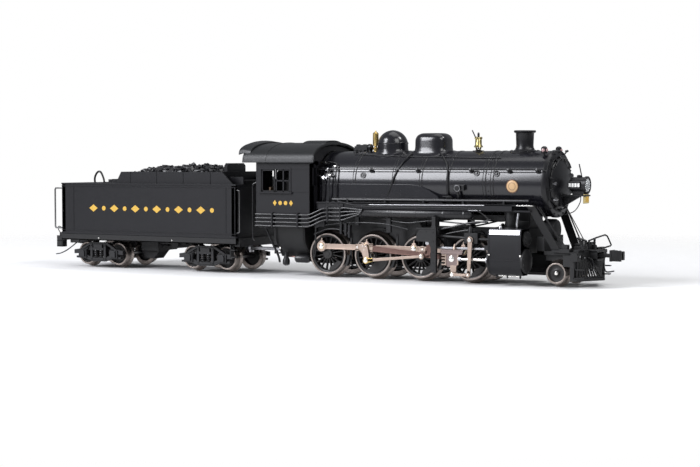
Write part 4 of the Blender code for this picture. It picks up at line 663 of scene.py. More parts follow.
def cab():
    """Cab with framed windows, a sliding sash, front wall round the boiler, floor and rails."""
    piece = Piece("cab_body", "chassis", "cab_paint", "cab_shell")
    win_x, win_z = (-24.4, -17.5), (16.65, 21.25)
    for side in SIDES:
        low, high = side * 8.5, side * 8.9
        piece.add(CAB, block((CAB_REAR, CAB_FRONT), (low, high), (CAB_FLOOR, win_z[0])),
                  block((CAB_REAR, CAB_FRONT), (low, high), (win_z[1], CAB_EAVE + 0.3)),
                  block((CAB_REAR, win_x[0]), (low, high), (win_z[0] - 0.05, win_z[1] + 0.05)),
                  block((win_x[1], CAB_FRONT), (low, high), (win_z[0] - 0.05, win_z[1] + 0.05)))
        out = side * 9.02
        piece.add(CAB, block((win_x[0] - 0.3, win_x[1] + 0.3), (high, out), (win_z[1], win_z[1] + 0.3)),
                  block((win_x[0] - 0.6, win_x[1] + 0.6), (high, side * 9.3), (win_z[0] - 0.3, win_z[0])),
                  block((win_x[0] - 0.3, win_x[0]), (high, out), win_z),
                  block((win_x[1], win_x[1] + 0.3), (high, out), win_z))
        sash_y = (side * 8.6, side * 8.86)
        for x in (-20.95, -19.25, -17.75):
            piece.add(CAB, block((x, x + 0.28), sash_y, win_z))
        for z in (win_z[0], 18.8, win_z[1] - 0.25):
            piece.add(CAB, block((-20.9, -17.5), sash_y, (z, z + 0.26)))
        piece.add(CAB, block((-24.4, -24.1), sash_y, win_z), block((-21.4, -21.15), sash_y, win_z),
                  block((-24.3, -21.2), sash_y, (win_z[1] - 0.3, win_z[1])),
                  block((-24.3, -21.2), sash_y, (win_z[0], win_z[0] + 0.3)))
        normal = "Y" if side > 0 else "-Y"
        for x in (CAB_REAR + 0.3, CAB_FRONT - 0.3):
            piece.add(CAB, *rivets((x, high, 10.2), (x, high, 22.3), 20, normal, 0.07))
        piece.add(CAB, *rivets((CAB_REAR + 0.6, high, 13.1), (CAB_FRONT - 0.6, high, 13.1), 20, normal,
            0.07),
                  *rivets((CAB_REAR + 0.6, high, 22.1), (CAB_FRONT - 0.6, high, 22.1), 20, normal, 0.07))
        rail_x = CAB_REAR - 0.15
        piece.add(TRIM, pipe(smooth([(CAB_REAR + 0.1, side * 8.75, 18.6), (rail_x - 0.6, side * 9.0, 18.1),
            (rail_x - 0.65, side * 9.0, 17.2),
                                     (rail_x - 0.65, side * 9.0, 8.0), (rail_x - 0.3, side * 8.9, 6.6)], 4),
                                     0.13, 8))
        # four plain gilt marks where a running number would be
        for k in range(4):
            x = -21.1 + 1.3 * k
            shape = [(x, 13.85), (x + 0.45, 14.43), (x, 15.0), (x - 0.45, 14.43)] if k in (0, 3) else None
            if shape:
                piece.add(GILT, slab(shape, high, high + side * 0.06))
            else:
                piece.add(GILT, disc((x, 14.43), 0.42, high, high + side * 0.06, "Y", 20))
        # front wall beside the boiler with its narrow window, a bolted door and its frame
        inner, wall = side * 6.25, (CAB_FRONT - 0.45, CAB_FRONT)
        piece.add(CAB, block(wall, (side * 6.7, side * 7.0), (12.5, 22.4)),
            block(wall, (side * 7.9, high), (CAB_FLOOR, 22.4)),
                  block(wall, (inner, side * 8.5), (CAB_FLOOR, 18.0)),
                  block(wall, (side * 6.2, side * 8.5), (21.6, 22.9)),
                  block((CAB_FRONT - 0.1, CAB_FRONT + 0.12), (side * 6.85, side * 7.05), (13.0, 21.8)))
    arch = roof_arc(CAB_HALF, CAB_EAVE, ROOF_TOP - 0.75)
    over = [(y, z) for y, z in arch if z >= 22.6]
    hoop = [(-6.4 * cos(pi * i / 30), BOILER_Z + 6.4 * sin(pi * i / 30)) for i in range(31)]
    upper = [point for point in hoop if point[1] > 21.5]
    piece.add(CAB, slab(over + upper[::-1], CAB_FRONT - 0.45, CAB_FRONT, "X"))
    piece.add(WOOD, block((CAB_REAR + 0.2, CAB_FRONT - 0.4), (-8.5, 8.5), (12.5, 12.9)))
    piece.add(CAB, *[block((CAB_REAR, CAB_REAR + 0.35), (side * 3.3, side * 8.6), (CAB_FLOOR, 22.9))
        for side in SIDES],
              *[block((CAB_REAR, CAB_FRONT), (side * 8.0, side * 8.6), (CAB_FLOOR, CAB_FLOOR + 0.4))
              for side in SIDES])
    rear = roof_arc(8.7, CAB_EAVE, ROOF_TOP - 0.8, 24)
    inner_rear = roof_arc(7.3, CAB_EAVE, ROOF_TOP - 1.9, 24)
    piece.add(CAB, slab(rear + inner_rear[::-1], CAB_REAR, CAB_REAR + 0.35, "X"))
    piece.done(0.04)
    inside = Piece("cab_fittings", "chassis", "frame_black", "backhead")
    inside.add(UNDER, turned([(-14.9, 5.0), (-14.5, 5.4), (-13.0, 5.4)], (0, BOILER_Z), "X", 40),
        disc((0, 16.4), 1.5, -15.2, -14.6, "X", 20))
    cover = [(3.6 * cos(radians(a)), 18.3 + 3.6 * sin(radians(a))) for a in range(0, 181, 15)]
    inside.add(UNDER, slab(cover + [(-3.6, 12.9), (3.6, 12.9)], -24.5, -15.0, "X"))
    inside.add(BRASS, *[washer((y, z), 0.62, 0.45, -15.3, -14.7, "X", 18) for y,
        z in ((-1.4, 21.4), (1.4, 21.4), (0, 22.6))])
    inside.add(WHITE, *[disc((y, z), 0.48, -15.1, -14.8, "X", 16) for y,
        z in ((-1.4, 21.4), (1.4, 21.4), (0, 22.6))])
    inside.add(STEEL, bar((-15.4, -2.4, 20.0), (-16.6, 1.2, 20.6), 0.12, 6),
        bar((-15.0, 3.0, 14.5), (-15.6, 3.2, 19.5), 0.14, 6))
    inside.add(WOOD, *both([block((-22.5, -19.5), (-8.3, -6.3), (14.6, 14.95)),
        block((-22.9, -22.5), (-8.3, -6.3), (12.9, 17.6))]))
    inside.done(0.05)


def cab_roof():
    piece = Piece("cab_roof_shell", "chassis", "cab_paint", "cab_roof")
    outer, inner = roof_arc(ROOF_HALF, ROOF_EAVE, ROOF_TOP), roof_arc(ROOF_HALF - 0.4, ROOF_EAVE,
        ROOF_TOP - 0.4)
    piece.add(ROOF, slab(outer + inner[::-1], -28.5, -11.6, "X"))
    visor, visor_in = roof_arc(9.0, 24.55, 27.25, 30), roof_arc(8.7, 24.5, 26.85, 30)
    piece.add(ROOF, tube([[(x, y, z - drop) for y, z in visor + visor_in[::-1]] for x,
        drop in ((-29.9, 0.3), (-29.0, 0.05), (-27.0, 0.35))]))
    for x in (-28.4, -23.0, -11.9):
        band, band_in = roof_arc(ROOF_HALF + 0.07, ROOF_EAVE, ROOF_TOP + 0.08), roof_arc(ROOF_HALF - 0.2,
            ROOF_EAVE, ROOF_TOP - 0.2)
        piece.add(ROOF, slab(band + band_in[::-1], x - 0.16, x + 0.16, "X"))
    hatch, hatch_in = roof_arc(3.6, 26.05, 27.15, 20), roof_arc(3.4, 25.6, 26.6, 20)
    piece.add(ROOF, slab(hatch + hatch_in[::-1], -17.9, -12.5, "X"))
    for side in SIDES:
        piece.add(ROOF, block((-18.2, -12.2), (side * 3.4, side * 3.75), (25.9, 26.5)),
                  slab([(side * 9.2, 22.6), (side * 9.68, 22.6), (side * 9.68, 22.8), (side * 9.42, 23.95),
                  (side * 9.2, 23.95)], -28.6, -11.5, "X"))
        arc = roof_arc(ROOF_HALF, ROOF_EAVE, ROOF_TOP, 40)
        for i in (4, 7, 10, 13, 16, 19):
            y, z = arc[i]
            piece.add(ROOF, *[turned([(z - 0.05, 0.08), (z + 0.05, 0.06)], (x, side * -y), "Z", 6)
                for x in (-28.1, -23.3, -22.7, -12.2)])
    piece.done(0.04)


# ---------------------------------------------------------------- boards, pipes and frames


def running_board(side):
    """Footboard with its valance, the air tank and pipes along it, and the pipes under the cab."""
    name = SIDE_NAME[side]
    piece = Piece(f"footboard_{name}", "chassis", "cab_paint", f"running_board_{name}")
    y = lambda v: side * v
    piece.add(CAB, block((-11.9, 35.2), (y(6.3), y(7.95)), (14.5, 14.75)),
        block((-3.6, 31.0), (y(7.75), y(7.95)), (13.55, 14.7)),
              block((-11.9, -3.3), (y(6.4), y(7.7)), (13.3, 14.7)),
              block((23.0, 34.6), (y(6.4), y(7.6)), (13.4, 13.7)))
    piece.add(TRIM, pipe([(-8.6, y(6.85), 15.25), (34.0, y(6.75), 15.45)], 0.36, 12),
        *[block((x - 0.2, x + 0.2), (y(6.3), y(7.3)), (14.7, 15.4)) for x in (-5.0, 3.5, 12.0, 20.5, 29.0)])
    piece.add(TRIM, turned([(-3.3, 0.3), (-3.0, 0.75), (-2.6, 0.95), (22.0, 0.95), (22.4, 0.75),
        (22.7, 0.3)], (y(7.15), 12.75), "X", 20))
    for x in (-1.6, 4.5, 10.5, 16.6, 21.0):
        piece.add(TRIM, turned([(x - 0.18, 1.0), (x + 0.18, 1.0), (x + 0.18, 0.9), (x - 0.18, 0.9)],
            (y(7.15), 12.75), "X", 20, True))
    # thin bright steel pipe along the board's outer edge, set and brightened where the board's lit top edge
    # shows: partly a pipe, partly a painted highlight
    piece.add(STEEL, pipe([(0.4, y(8.08), 14.35), (25.4, y(8.08), 14.6)], 0.09, 6),
        block((22.0, 24.6), (y(7.95), y(8.02)), (13.5, 13.62)))
    piece.add(TRIM, pipe(smooth([(-3.4, y(8.05), 14.0), (9.0, y(8.06), 13.95), (22.0, y(8.06), 14.0),
        (24.6, y(8.0), 13.2), (26.0, y(7.6), 12.0)]), 0.12, 6),
              pipe(smooth([(-7.0, y(7.9), 15.0), (-4.0, y(8.1), 14.4), (-1.6, y(8.15), 14.2),
              (0.4, y(8.1), 14.35)]), 0.12, 6),
              *rivets((-3.2, y(7.95), 13.7), (34.2, y(7.95), 13.7), 44, "Y" if side > 0 else "-Y", 0.06))
    # bright nickel strip at the board's front end: a painted highlight for the board's lit top edge
    piece.add(PIN, block((31.9, 35.3), (y(7.2), y(8.02)), (14.52, 14.72)))
    for k in range(4):
        z, out = 9.75 + 0.78 * k, y(9.32 - 0.03 * k)
        path = [(-25.6, out, z), (-13.1, out, z), (-12.3, out, z + 0.2), (-10.0, y(8.75), z + 1.25),
                (-9.2, y(8.5), z + 1.4), (-6.2, y(8.3), z + 1.4), (-5.3, y(8.25), z + 1.55),
                (-1.6 + 0.2 * k, y(8.15), z + 2.7 - 0.5 * k)]
        piece.add(TRIM, pipe(path, 0.18, 8))
    for x in (-21.5, -15.4):
        piece.add(CAB, block((x - 0.18, x + 0.18), (y(8.9), y(9.58)), (9.4, 12.5)),
                  *[bolt((x, y(9.55), z), "Y" if side > 0 else "-Y", 0.12, 0.08)
                  for z in (10.1, 10.9, 11.7, 12.4)])
    piece.add(TRIM, block((-9.6, -5.6), (y(7.0), y(7.9)), (11.4, 14.4)),
        block((-9.0, -8.7), (y(8.3), y(8.75)), (10.8, 13.9)),
        block((-6.2, -5.9), (y(8.1), y(8.5)), (10.9, 13.9)),
              block((-12.6, -9.9), (y(6.9), y(8.0)), (9.8, 11.0)))
    piece.done(0.04)
    # piping, lubricator and levers hung between the board and the rear drivers
    under = Piece(f"underboard_piping_{name}", "chassis", "frame_black")
    for path, radius in (
            ([(-12.0, y(7.9), 9.6), (-10.0, y(7.7), 10.1), (-4.0, y(7.2), 10.7), (3.0, y(6.9), 10.6),
            (8.4, y(6.7), 9.6)], 0.13),
            ([(-12.6, y(7.6), 8.2), (-9.5, y(7.5), 9.3), (-6.4, y(7.4), 9.2), (-4.8, y(7.3), 8.6)], 0.12),
            ([(2.6, y(6.6), 11.6), (8.0, y(6.8), 10.9), (14.0, y(7.0), 11.4), (22.0, y(7.0), 11.0),
            (26.2, y(6.8), 11.9)], 0.14),
            ([(15.4, y(7.5), 9.8), (18.5, y(7.4), 10.4), (22.6, y(7.3), 11.3), (25.8, y(7.2), 11.4)], 0.17),
            ([(15.4, y(6.9), 8.6), (19.0, y(6.9), 9.4), (22.4, y(7.0), 9.9)], 0.15)):
        under.add(TRIM, pipe(smooth(path, 5), radius, 8))
    for x, z in ((-6.3, 9.3), (-5.2, 9.0), (-4.4, 8.6)):
        under.add(TRIM, block((x - 0.22, x + 0.22), (y(6.9), y(7.7)), (z - 0.9, z + 1.6)),
            disc((x, z), 0.32, y(7.6), y(7.85), "Y", 12))
    under.add(TRIM, block((3.6, 4.6), (y(6.3), y(6.9)), (8.9, 12.4)),
        block((-3.4, -2.6), (y(6.3), y(6.9)), (10.2, 12.4)))
    under.done(0.03)


def chassis_frames():
    """Split frame halves, keeper plate, spring gear and brake shoes between the wheels."""
    for side in SIDES:
        name = SIDE_NAME[side]
        piece = Piece(f"bar_frame_{name}", "chassis", "frame_metal", f"frame_{name}")
        outline = [(-14.4, 3.0)]
        for x in DRIVER_X:
            outline += [(x - 0.85, 3.0), (x - 0.85, 5.1), (x + 0.85, 5.1), (x + 0.85, 3.0)]
        outline += [(26.2, 3.0), (26.2, 10.0), (9.6, 10.0), (8.6, 11.6), (-14.4, 11.6)]
        piece.add(UNDER, slab(outline, side * 2.7, side * 3.2),
            block((-14.4, -13.8), (side * 0.4, side * 2.8), (3.0, 6.0)),
                  block((3.6, 9.0), (side * 0.2, side * 2.8), (5.2, 11.6)),
                  block((8.9, 26.2), (side * 0.2, side * 2.8), (5.2, 10.0)),
                  block((8.9, 27.5), (side * 0.2, side * 3.2), (11.55, 12.6)),
                  block((-14.4, -13.9), (side * 0.8, side * 2.8), (9.4, 11.6)),
                  block((-3.6, 3.6), (side * 1.8, side * 2.8), (5.2, 11.6)),
                  block((-8.2, -3.0), (side * 0.6, side * 2.8), (5.2, 7.6)),
                  block((-14.4, 9.0), (side * 2.75, side * 3.3), (11.0, 12.9)))
        for x in DRIVER_X:
            piece.add(UNDER, block((x - 1.2, x - 0.9), (side * 3.15, side * 3.45), (3.2, 6.4)),
                block((x + 0.9, x + 1.2), (side * 3.15, side * 3.45), (3.2, 6.4)),
                      *[slab([(x - 2.3 + 0.3 * k, 8.6 + 0.28 * k), (x + 2.3 - 0.3 * k, 8.6 + 0.28 * k),
                      (x + 2.3 - 0.3 * k, 8.82 + 0.28 * k),
                              (x - 2.3 + 0.3 * k, 8.82 + 0.28 * k)], side * 3.15,
                              side * 3.6) for k in range(4)])
        piece.done(0.03)
    plate = Piece("axle_keeper", "chassis", "frame_black", "keeper_plate")
    plate.add(UNDER, block((-14.4, -3.3), (-3.2, 3.2), (2.1, 2.8)),
        block((3.3, 26.2), (-3.2, 3.2), (2.1, 2.8)),
              *[block((-3.4, 3.4), (side * 0.95, side * 3.2), (2.1, 2.8)) for side in SIDES],
              disc((24.6, 0), 0.6, 0.95, 2.2, "Z", 24))
    plate.add(STEEL, turned([(1.15, 1.0), (0.85, 1.0), (0.75, 0.7)], (24.6, 0), "Z", 24),
              *[turned([(2.15, 0.55), (1.9, 0.5)], (x, 0), "Z", 16) for x in (-12.5, 5.2, 15.8)])
    plate.done(0.04)
    brakes = Piece("brake_gear", "chassis", "frame_black")
    for side in SIDES:
        for x in DRIVER_X[:3]:
            front = x + 5.15
            shoe = [(x + 4.45 * cos(radians(a)), DRIVER_R + 4.45 * sin(radians(a)))
                for a in range(-32, 4, 6)]
            back = [(px + 0.55, pz) for px, pz in reversed(shoe)]
            brakes.add(UNDER, slab(shoe + back, side * 4.55, side * 5.6),
                       slab(strip((x + 5.0, 2.6), (front, 8.6), 0.42), side * 4.9, side * 5.2))
        brakes.add(UNDER, bar((-6.0, side * 3.6, 1.7), (16.2, side * 3.6, 1.7), 0.2, 8))
    for x in (-5.3, 5.2, 15.7):
        brakes.add(UNDER, bar((x, -5.3, 2.3), (x, 5.3, 2.3), 0.2, 8))
    brakes.done(0.03)


def ashpan():
    """Firebox bottom and ash hopper round the motor, with the injector and pipes under the cab."""
    piece = Piece("ash_hopper", "chassis", "frame_black", "ashpan")
    outline = [(-3.9, 3.3), (-6.25, 6.4), (-6.6, 9.7), (-6.6, 12.4)]
    outline += [(-y, z) for y, z in reversed(outline)]
    inner = [(-3.7, 4.4), (-3.9, 11.0), (3.9, 11.0), (3.7, 4.4)]
    piece.add(UNDER, slab(outline, -22.6, -21.9, "X"), slab(outline, -16.0, -15.5, "X"))
    for side in SIDES:
        wall = [(side * 3.7, 3.3), (side * 3.9, 3.3), (side * 6.25, 6.4), (side * 6.6, 9.7),
            (side * 6.6, 12.4), (side * 3.9, 12.4)]
        piece.add(UNDER, slab(wall, -22.5, -15.6, "X"))
        piece.add(UNDER, block((-22.3, -15.8), (side * 6.5, side * 6.75), (9.5, 9.9)),
            slab([(side * 6.55, 10), (side * 7.9, 9.6), (side * 7.9, 9.9), (side * 6.55, 12)],
                                                                                  -22.6, -15.6, "X"))
        piece.add(TRIM, pipe(smooth([(-24.4, side * 7.6, 9.8), (-23.0, side * 7.3, 6.6),
            (-21.6, side * 6.9, 3.6), (-21.4, side * 6.6, 2.2)]), 0.24, 8),
                  turned([(1.5, 0.35), (1.8, 0.75), (2.6, 0.75), (3.2, 0.5), (4.2, 0.42)],
                  (-20.6, side * 5.4), "Z", 14),
                  turned([(-18.6, 0.45), (-18.2, 0.85), (-15.6, 0.85), (-15.0, 0.5)], (side * 5.0, 3.0),
                  "X", 16),
                  pipe(smooth([(-15.0, side * 5.0, 3.0), (-13.6, side * 5.6, 3.6), (-12.8, side * 6.6, 6.0),
                  (-12.4, side * 7.2, 9.8)]), 0.2, 8))
        piece.add(PIN, bolt((-21.4, side * 6.4, 5.1), "Y" if side > 0 else "-Y", 0.28, 0.2))
        piece.add(DARK_ROD, bar((-21.6, side * 4.6, 3.4), (-17.0, side * 4.6, 3.2), 0.16, 8))
    piece.add(UNDER, block((-22.5, -15.6), (-3.9, 3.9), (3.3, 4.3)),
        block((-25.4, -22.3), (-2.6, 2.6), (5.5, 12.35)),
              block((-25.4, -23.0), (-8.4, 8.4), (9.3, 9.8)))
    piece.add(STEEL, disc((-24.2, 0), 0.5, 3.6, 5.6, "Z", 20),
        turned([(3.85, 0.9), (3.45, 0.9), (3.35, 0.6)], (-24.2, 0), "Z", 20))
    piece.done(0.05)
    can = Piece("motor_can", "chassis", "motor_can", "motor")
    can.add(STEEL, slab([(y, z) for y, z in circle((0, 8.6), 3.2, 40)], -21.5, -16.1, "X"),
        turned([(-16.1, 1.4), (-15.8, 0.9), (-15.45, 0.85)], (0, 8.6), "X", 20))
    can.add(BRASS, washer((0, 8.6), 0.7, 0.46, -15.5, -15.3, "X", 16))
    can.done(0.08)


def cylinders():
    """Both cylinders with lagging, covers, bolts and drain cocks, the saddle and steam pipes."""
    piece = Piece("cylinders", "chassis", "boiler_paint", "cylinder_block")
    back, front = 26.5, 33.3
    for side in SIDES:
        s = lambda v: side * v
        normal = "Y" if side > 0 else "-Y"
        # the top shoulder takes the bright painted-highlight metal, standing in for the lamp's reflection on it
        piece.add(SHOULDER_HIGHLIGHT, slab([(s(8.5), 9.15), (s(8.88), 9.15), (s(8.63), 10.05), (s(8.3), 10.27),
            (s(7.9), 10.27)], back + 0.25, front - 0.25, "X"))
        skin = [(8.75, 8.9), (8.82, 8.4), (8.82, 3.3), (8.6, 2.4), (8.0, 1.75), (7.3, 1.5), (5.8, 1.5),
            (5.0, 2.2), (4.9, 3.4), (4.9, 10.2),
                (8.0, 10.2)] + [(8.0 + 0.75 * sin(radians(a)), 9.45 + 0.75 * cos(radians(a)))
                for a in range(15, 91, 15)]
        outline = [(s(y), z) for y, z in skin]
        piece.add(CAB, slab(outline, back, front, "X"))
        piece.add(CAB, block((back, front), (s(8.8), s(8.88)), (4.3, 4.42)))
        for x in (back, front - 0.3):
            piece.add(CAB, slab([(s(abs(y) + (0.08 if abs(y) > 5 else 0)), z) for y, z in outline], x,
                x + 0.3, "X"))
        piece.add(STEEL, block((back + 0.3, front - 0.3), (s(7.95), s(8.35)), (10.12, 10.24)))
        for centre, radius in (((s(6.75), 4.2), 2.35), ((s(6.6), 8.35), 1.55)):
            piece.add(UNDER, turned([(front - 0.1, radius), (front + 0.35, radius),
                (front + 0.5, radius - 0.25), (front + 0.6, radius - 0.5),
                                     (front + 1.0, radius * 0.35), (front + 1.05, 0.05)], centre, "X", 40))
            piece.add(TRIM, *[bolt((front + 0.45, centre[0] + (radius - 0.25) * cos(2 * pi * (k + .5) / 12),
                centre[1] + (radius - 0.25) * sin(2 * pi * (k + .5) / 12)),
                                   "X", 0.12, 0.14) for k in range(12)])
            piece.add(UNDER, turned([(back + 0.1, radius), (back - 0.2, radius), (back - 0.3, radius - 0.3),
                (back - 0.32, 0.9)], centre, "X", 40))
        piece.add(STEEL, turned([(back - 0.2, 0.75), (back - 0.75, 0.7), (back - 0.8, 0.5),
            (back - 0.8, 0.32), (back - 0.2, 0.32)],
                                (s(PISTON_Y), PISTON_Z), "X", 20, True))
        piece.add(PIN, turned([(s(8.75), 0.22), (s(9.05), 0.2), (s(9.15), 0.1)], (back + 0.35, 5.35), "Y",
            12),
                  turned([(s(8.75), 0.24), (s(9.05), 0.22), (s(9.15), 0.1)], (front - 0.1, 5.3), "Y", 12),
                  bar((back + 1.6, s(7.2), 1.35), (front - 0.9, s(7.2), 1.35), 0.13, 8))
        piece.add(TRIM, *[turned([(1.6, 0.2), (1.2, 0.22), (0.9, 0.12)], (x, s(7.2)), "Z", 8)
            for x in (back + 1.2, back + 3.4, front - 0.8)])
        outer_pipe = smooth([(29.9, s(5.6), 9.8), (29.9, s(5.95), 11.8), (29.9, s(6.0), 13.2),
            (29.9, s(5.4), 14.8)])
        piece.add(UNDER, pipe(outer_pipe, 0.95, 16),
            turned([(10.0, 1.5), (10.5, 1.5), (10.6, 1.2)], (29.9, s(5.7)), "Z", 20))
        piece.add(STEEL, pipe(smooth([(31.6, s(6.9), 10.0), (31.7, s(7.1), 11.5), (31.9, s(6.9), 13.2)]),
            0.2, 8), turned([(10.1, 0.4), (10.7, 0.35), (10.9, 0.2)], (28.4, s(7.2)), "Z", 12))
    piece.add(UNDER, block((back, front), (-5.0, 5.0), (5.6, 10.2)))
    saddle = [(-4.6, 10.0), (-3.4, 10.6), (-2.9, 11.6), (-3.4, 13.4), (3.4, 13.4), (2.9, 11.6), (3.4, 10.6),
        (4.6, 10.0)]
    piece.add(UNDER, slab(saddle, 27.4, 32.6, "X"))
    piece.done(0.05)


def guide_yoke():
    """Yoke with its legs, link brackets, guide bars, valve-stem guides and reach rod ends."""
    piece = Piece("guide_yoke_casting", "chassis", "frame_black", "guide_yoke")
    piece.add(UNDER, block((14.6, 15.4), (-8.75, 8.75), (11.9, 12.25)))
    for side in SIDES:
        s = lambda v: side * v
        normal = "Y" if side > 0 else "-Y"
        plate = [(11.3, 7.5), (11.3, 8.8), (12.2, 10.1), (14.5, 10.1), (14.5, 10.5), (15.5, 10.5),
            (15.5, 1.5), (14.4, 1.5), (14.4, 6.3), (13.9, 7.4)]
        piece.add(UNDER, slab(plate, s(8.3), s(8.8)), block((14.6, 15.4), (s(3.4), s(7.0)), (8.0, 10.1)),
            block((14.6, 15.4), (s(3.4), s(7.0)), (11.5, 12.0)),
            block((14.6, 15.4), (s(6.9), s(8.75)), (10.35, 12.0)),
                  block((15.3, 15.6), (s(8.2), s(8.9)), (1.5, 10.1)),
                  block((11.3, 15.4), (s(8.75), s(8.9)), (9.85, 10.1)))
        piece.add(UNDER, *[bolt((x, s(8.8), z), normal, 0.14, 0.1) for x,
            z in ((12.2, 9.3), (13.4, 9.4), (14.9, 9.3), (14.9, 7.6), (14.9, 5.4), (14.9, 3.4),
            (14.9, 2.0))])
        # guide bars above the crosshead, with end blocks
        piece.add(STEEL, block((15.2, 26.4), (s(7.25), s(7.75)), (6.12, 6.5)))
        piece.add(UNDER, block((25.4, 26.4), (s(7.0), s(8.0)), (6.1, 7.0)),
            block((15.0, 15.5), (s(7.0), s(8.6)), (6.15, 7.8)),
                  block((21.2, 24.0), (s(6.6), s(8.05)), (7.3, 9.3)),
                  block((21.5, 23.7), (s(7.9), s(8.1)), (7.5, 9.0)),
                  bar((23.8, s(7.5), 8.15), (26.4, s(7.5), 8.15), 0.26, 10),
                  bar((14.9, s(7.3), 8.6), (21.6, s(7.3), 8.3), 0.26, 8),
                  turned([(9.2, 0.5), (10.2, 0.45), (10.6, 0.2)], (22.2, s(7.3)), "Z", 12))
        piece.add(PIN, turned([(s(8.0), 0.25), (s(8.62), 0.25), (s(8.62), 0.42), (s(8.75), 0.36)],
            LEVER_TOP, "Y", 16))
        piece.add(STEEL, turned([(s(8.05), 0.42), (s(8.28), 0.42)], TRUNNION, "Y", 16))
    piece.done(0.04)


def pilot():
    """Deck, beam, coupler pocket, slatted pilot, steps, braces, rails and the small tank."""
    piece = Piece("pilot_casting", "chassis", "frame_black", "pilot")
    beam_x = (42.7, 44.0)
    piece.add(UNDER, block((34.7, 42.9), (-4.6, 4.6), (5.4, 6.1)),
        block((34.7, 36.2), (-4.6, 4.6), (5.4, 8.8)),
              block(beam_x, (-7.7, 7.7), (4.5, 6.0)), block((42.3, 44.1), (-7.3, 7.3), (5.95, 6.15)),
              block((36.2, 42.9), (-3.9, -3.5), (4.3, 5.6)), block((36.2, 42.9), (3.5, 3.9), (4.3, 5.6)))
    nose, wing = (46.5, 0.0), (43.4, 6.5)
    rim = [(wing[0], -wing[1]), nose, wing, (wing[0] - 0.8, wing[1] - 0.3), (nose[0] - 1.3, 0),
        (wing[0] - 0.8, 0.3 - wing[1])]
    piece.add(UNDER, slab(rim, 0.72, 1.25, "Z"),
        slab([(x - 0.15, y * 0.98) for x, y in rim], 1.3, 1.5, "Z"))
    for side in SIDES:
        s = lambda v: side * v
        for k in range(10):
            share = (k + 0.35) / 10
            foot = (nose[0] + (wing[0] - nose[0]) * share - 0.4, side * wing[1] * share, 0.95)
            piece.add(UNDER, bar(foot, (43.7, side * wing[1] * share * 1.03, 4.8), 0.2, 6))
        piece.add(UNDER, slab([(42.4, s(6.2)), (43.7, s(6.6)), (43.8, s(7.0)), (42.2, s(6.7))], 0.8, 4.6,
            "Z"),
                  slab([(40.6, s(5.9)), (42.5, s(6.3)), (42.5, s(6.6)), (40.6, s(6.2))], 3.4, 5.6, "Z"),
                  block((43.3, 45.0), (s(6.4), s(7.3)), (2.9, 3.1)),
                  block((43.2, 43.5), (s(6.4), s(7.3)), (2.9, 4.6)),
                  block((43.1, 44.9), (s(6.4), s(7.4)), (1.3, 1.5)),
                  block((43.0, 43.3), (s(6.4), s(7.4)), (1.3, 4.6)),
                  turned([(43.9, 0.5), (44.2, 0.5), (44.2, 0.25), (43.9, 0.25)], (s(5.2), 5.2), "X", 16,
                  True),
                  block((40.2, 42.2), (s(5.0), s(7.0)), (6.0, 6.7)),
                  block((40.5, 41.6), (s(5.4), s(6.6)), (6.6, 7.5)),
                  block((42.9, 43.9), (s(3.2), s(6.8)), (6.1, 6.6)),
                  block((41.6, 43.6), (s(2.2), s(3.2)), (6.0, 7.1)))
        loop = [(43.0, s(0.6), 8.0), (43.4, s(3.4), 8.45), (43.8, s(6.9), 8.85), (44.1, s(7.3), 8.6),
            (44.9, s(7.35), 6.95), (44.8, s(7.0), 6.75), (44.1, s(4.2), 6.35)]
        piece.add(TRIM, pipe(loop, 0.17, 8), bar((43.2, s(3.0), 5.9), (43.2, s(3.0), 8.4), 0.24, 8),
                  bar((42.8, s(1.0), 6.0), (42.9, s(1.0), 8.1), 0.2, 8),
                  bar((43.4, s(2.2), 6.0), (43.4, s(2.2), 7.2), 0.45, 10))
        piece.add(STEEL, bolt((44.1, s(4.4), 5.1), "X", 0.2, 0.2), bolt((44.1, s(6.7), 5.4), "X", 0.2, 0.2))
        brace_top, brace_foot = (34.5, 14.6), (38.9, 6.0)
        along = Vector((brace_foot[0] - brace_top[0], 0, brace_foot[1] - brace_top[1]))
        rings = []
        for share in (0, 1):
            x, z = brace_top[0] + along.x * share, brace_top[1] + along.z * share
            y_mid, half = 7.2 - 2.4 * share, 0.85
            rings.append([(x - half, s(y_mid - 0.14), z), (x + half, s(y_mid - 0.14), z),
                (x + half, s(y_mid + 0.14), z), (x - half, s(y_mid + 0.14), z)])
        piece.add(UNDER, tube(rings), bar((35.9, s(6.4), 14.4), (40.6, s(4.5), 6.0), 0.15, 8),
            block((37.9, 40.2), (s(4.0), s(5.3)), (5.95, 6.35)),
                  bar((35.6, s(6.9), 14.5), (41.0, s(5.0), 6.6), 0.1, 6))
        piece.add(UNDER, *rivets((34.7, s(4.6), 5.75), (42.6, s(4.6), 5.75), 12, "Y" if side > 0 else "-Y",
            0.09))
    piece.add(UNDER, turned([(34.6, 2.1), (36.5, 2.1), (36.9, 1.9), (37.15, 1.3), (37.2, 0.05)], (0, 9.9),
        "X", 32),
              block((42.5, 45.7), (-1.9, 1.9), (4.35, 4.75)),
              block((42.5, 45.7), (-1.9, 1.9), (5.95, 6.35)),
              block((42.5, 45.6), (-1.9, -1.6), (4.5, 6.2)), block((42.5, 45.6), (1.6, 1.9), (4.5, 6.2)),
              turned([(5.9, 0.45), (6.8, 0.45), (6.9, 0.7), (7.3, 0.7), (7.5, 0.3)], (41.0, 0), "Z", 14))
    piece.add(TRIM, pipe(smooth([(44.0, -2.6, 5.0), (44.9, -2.6, 4.6), (45.2, -2.6, 3.4),
        (44.8, -2.5, 2.6)]), 0.18, 8))
    piece.done(0.03)


# ---------------------------------------------------------------- wheels


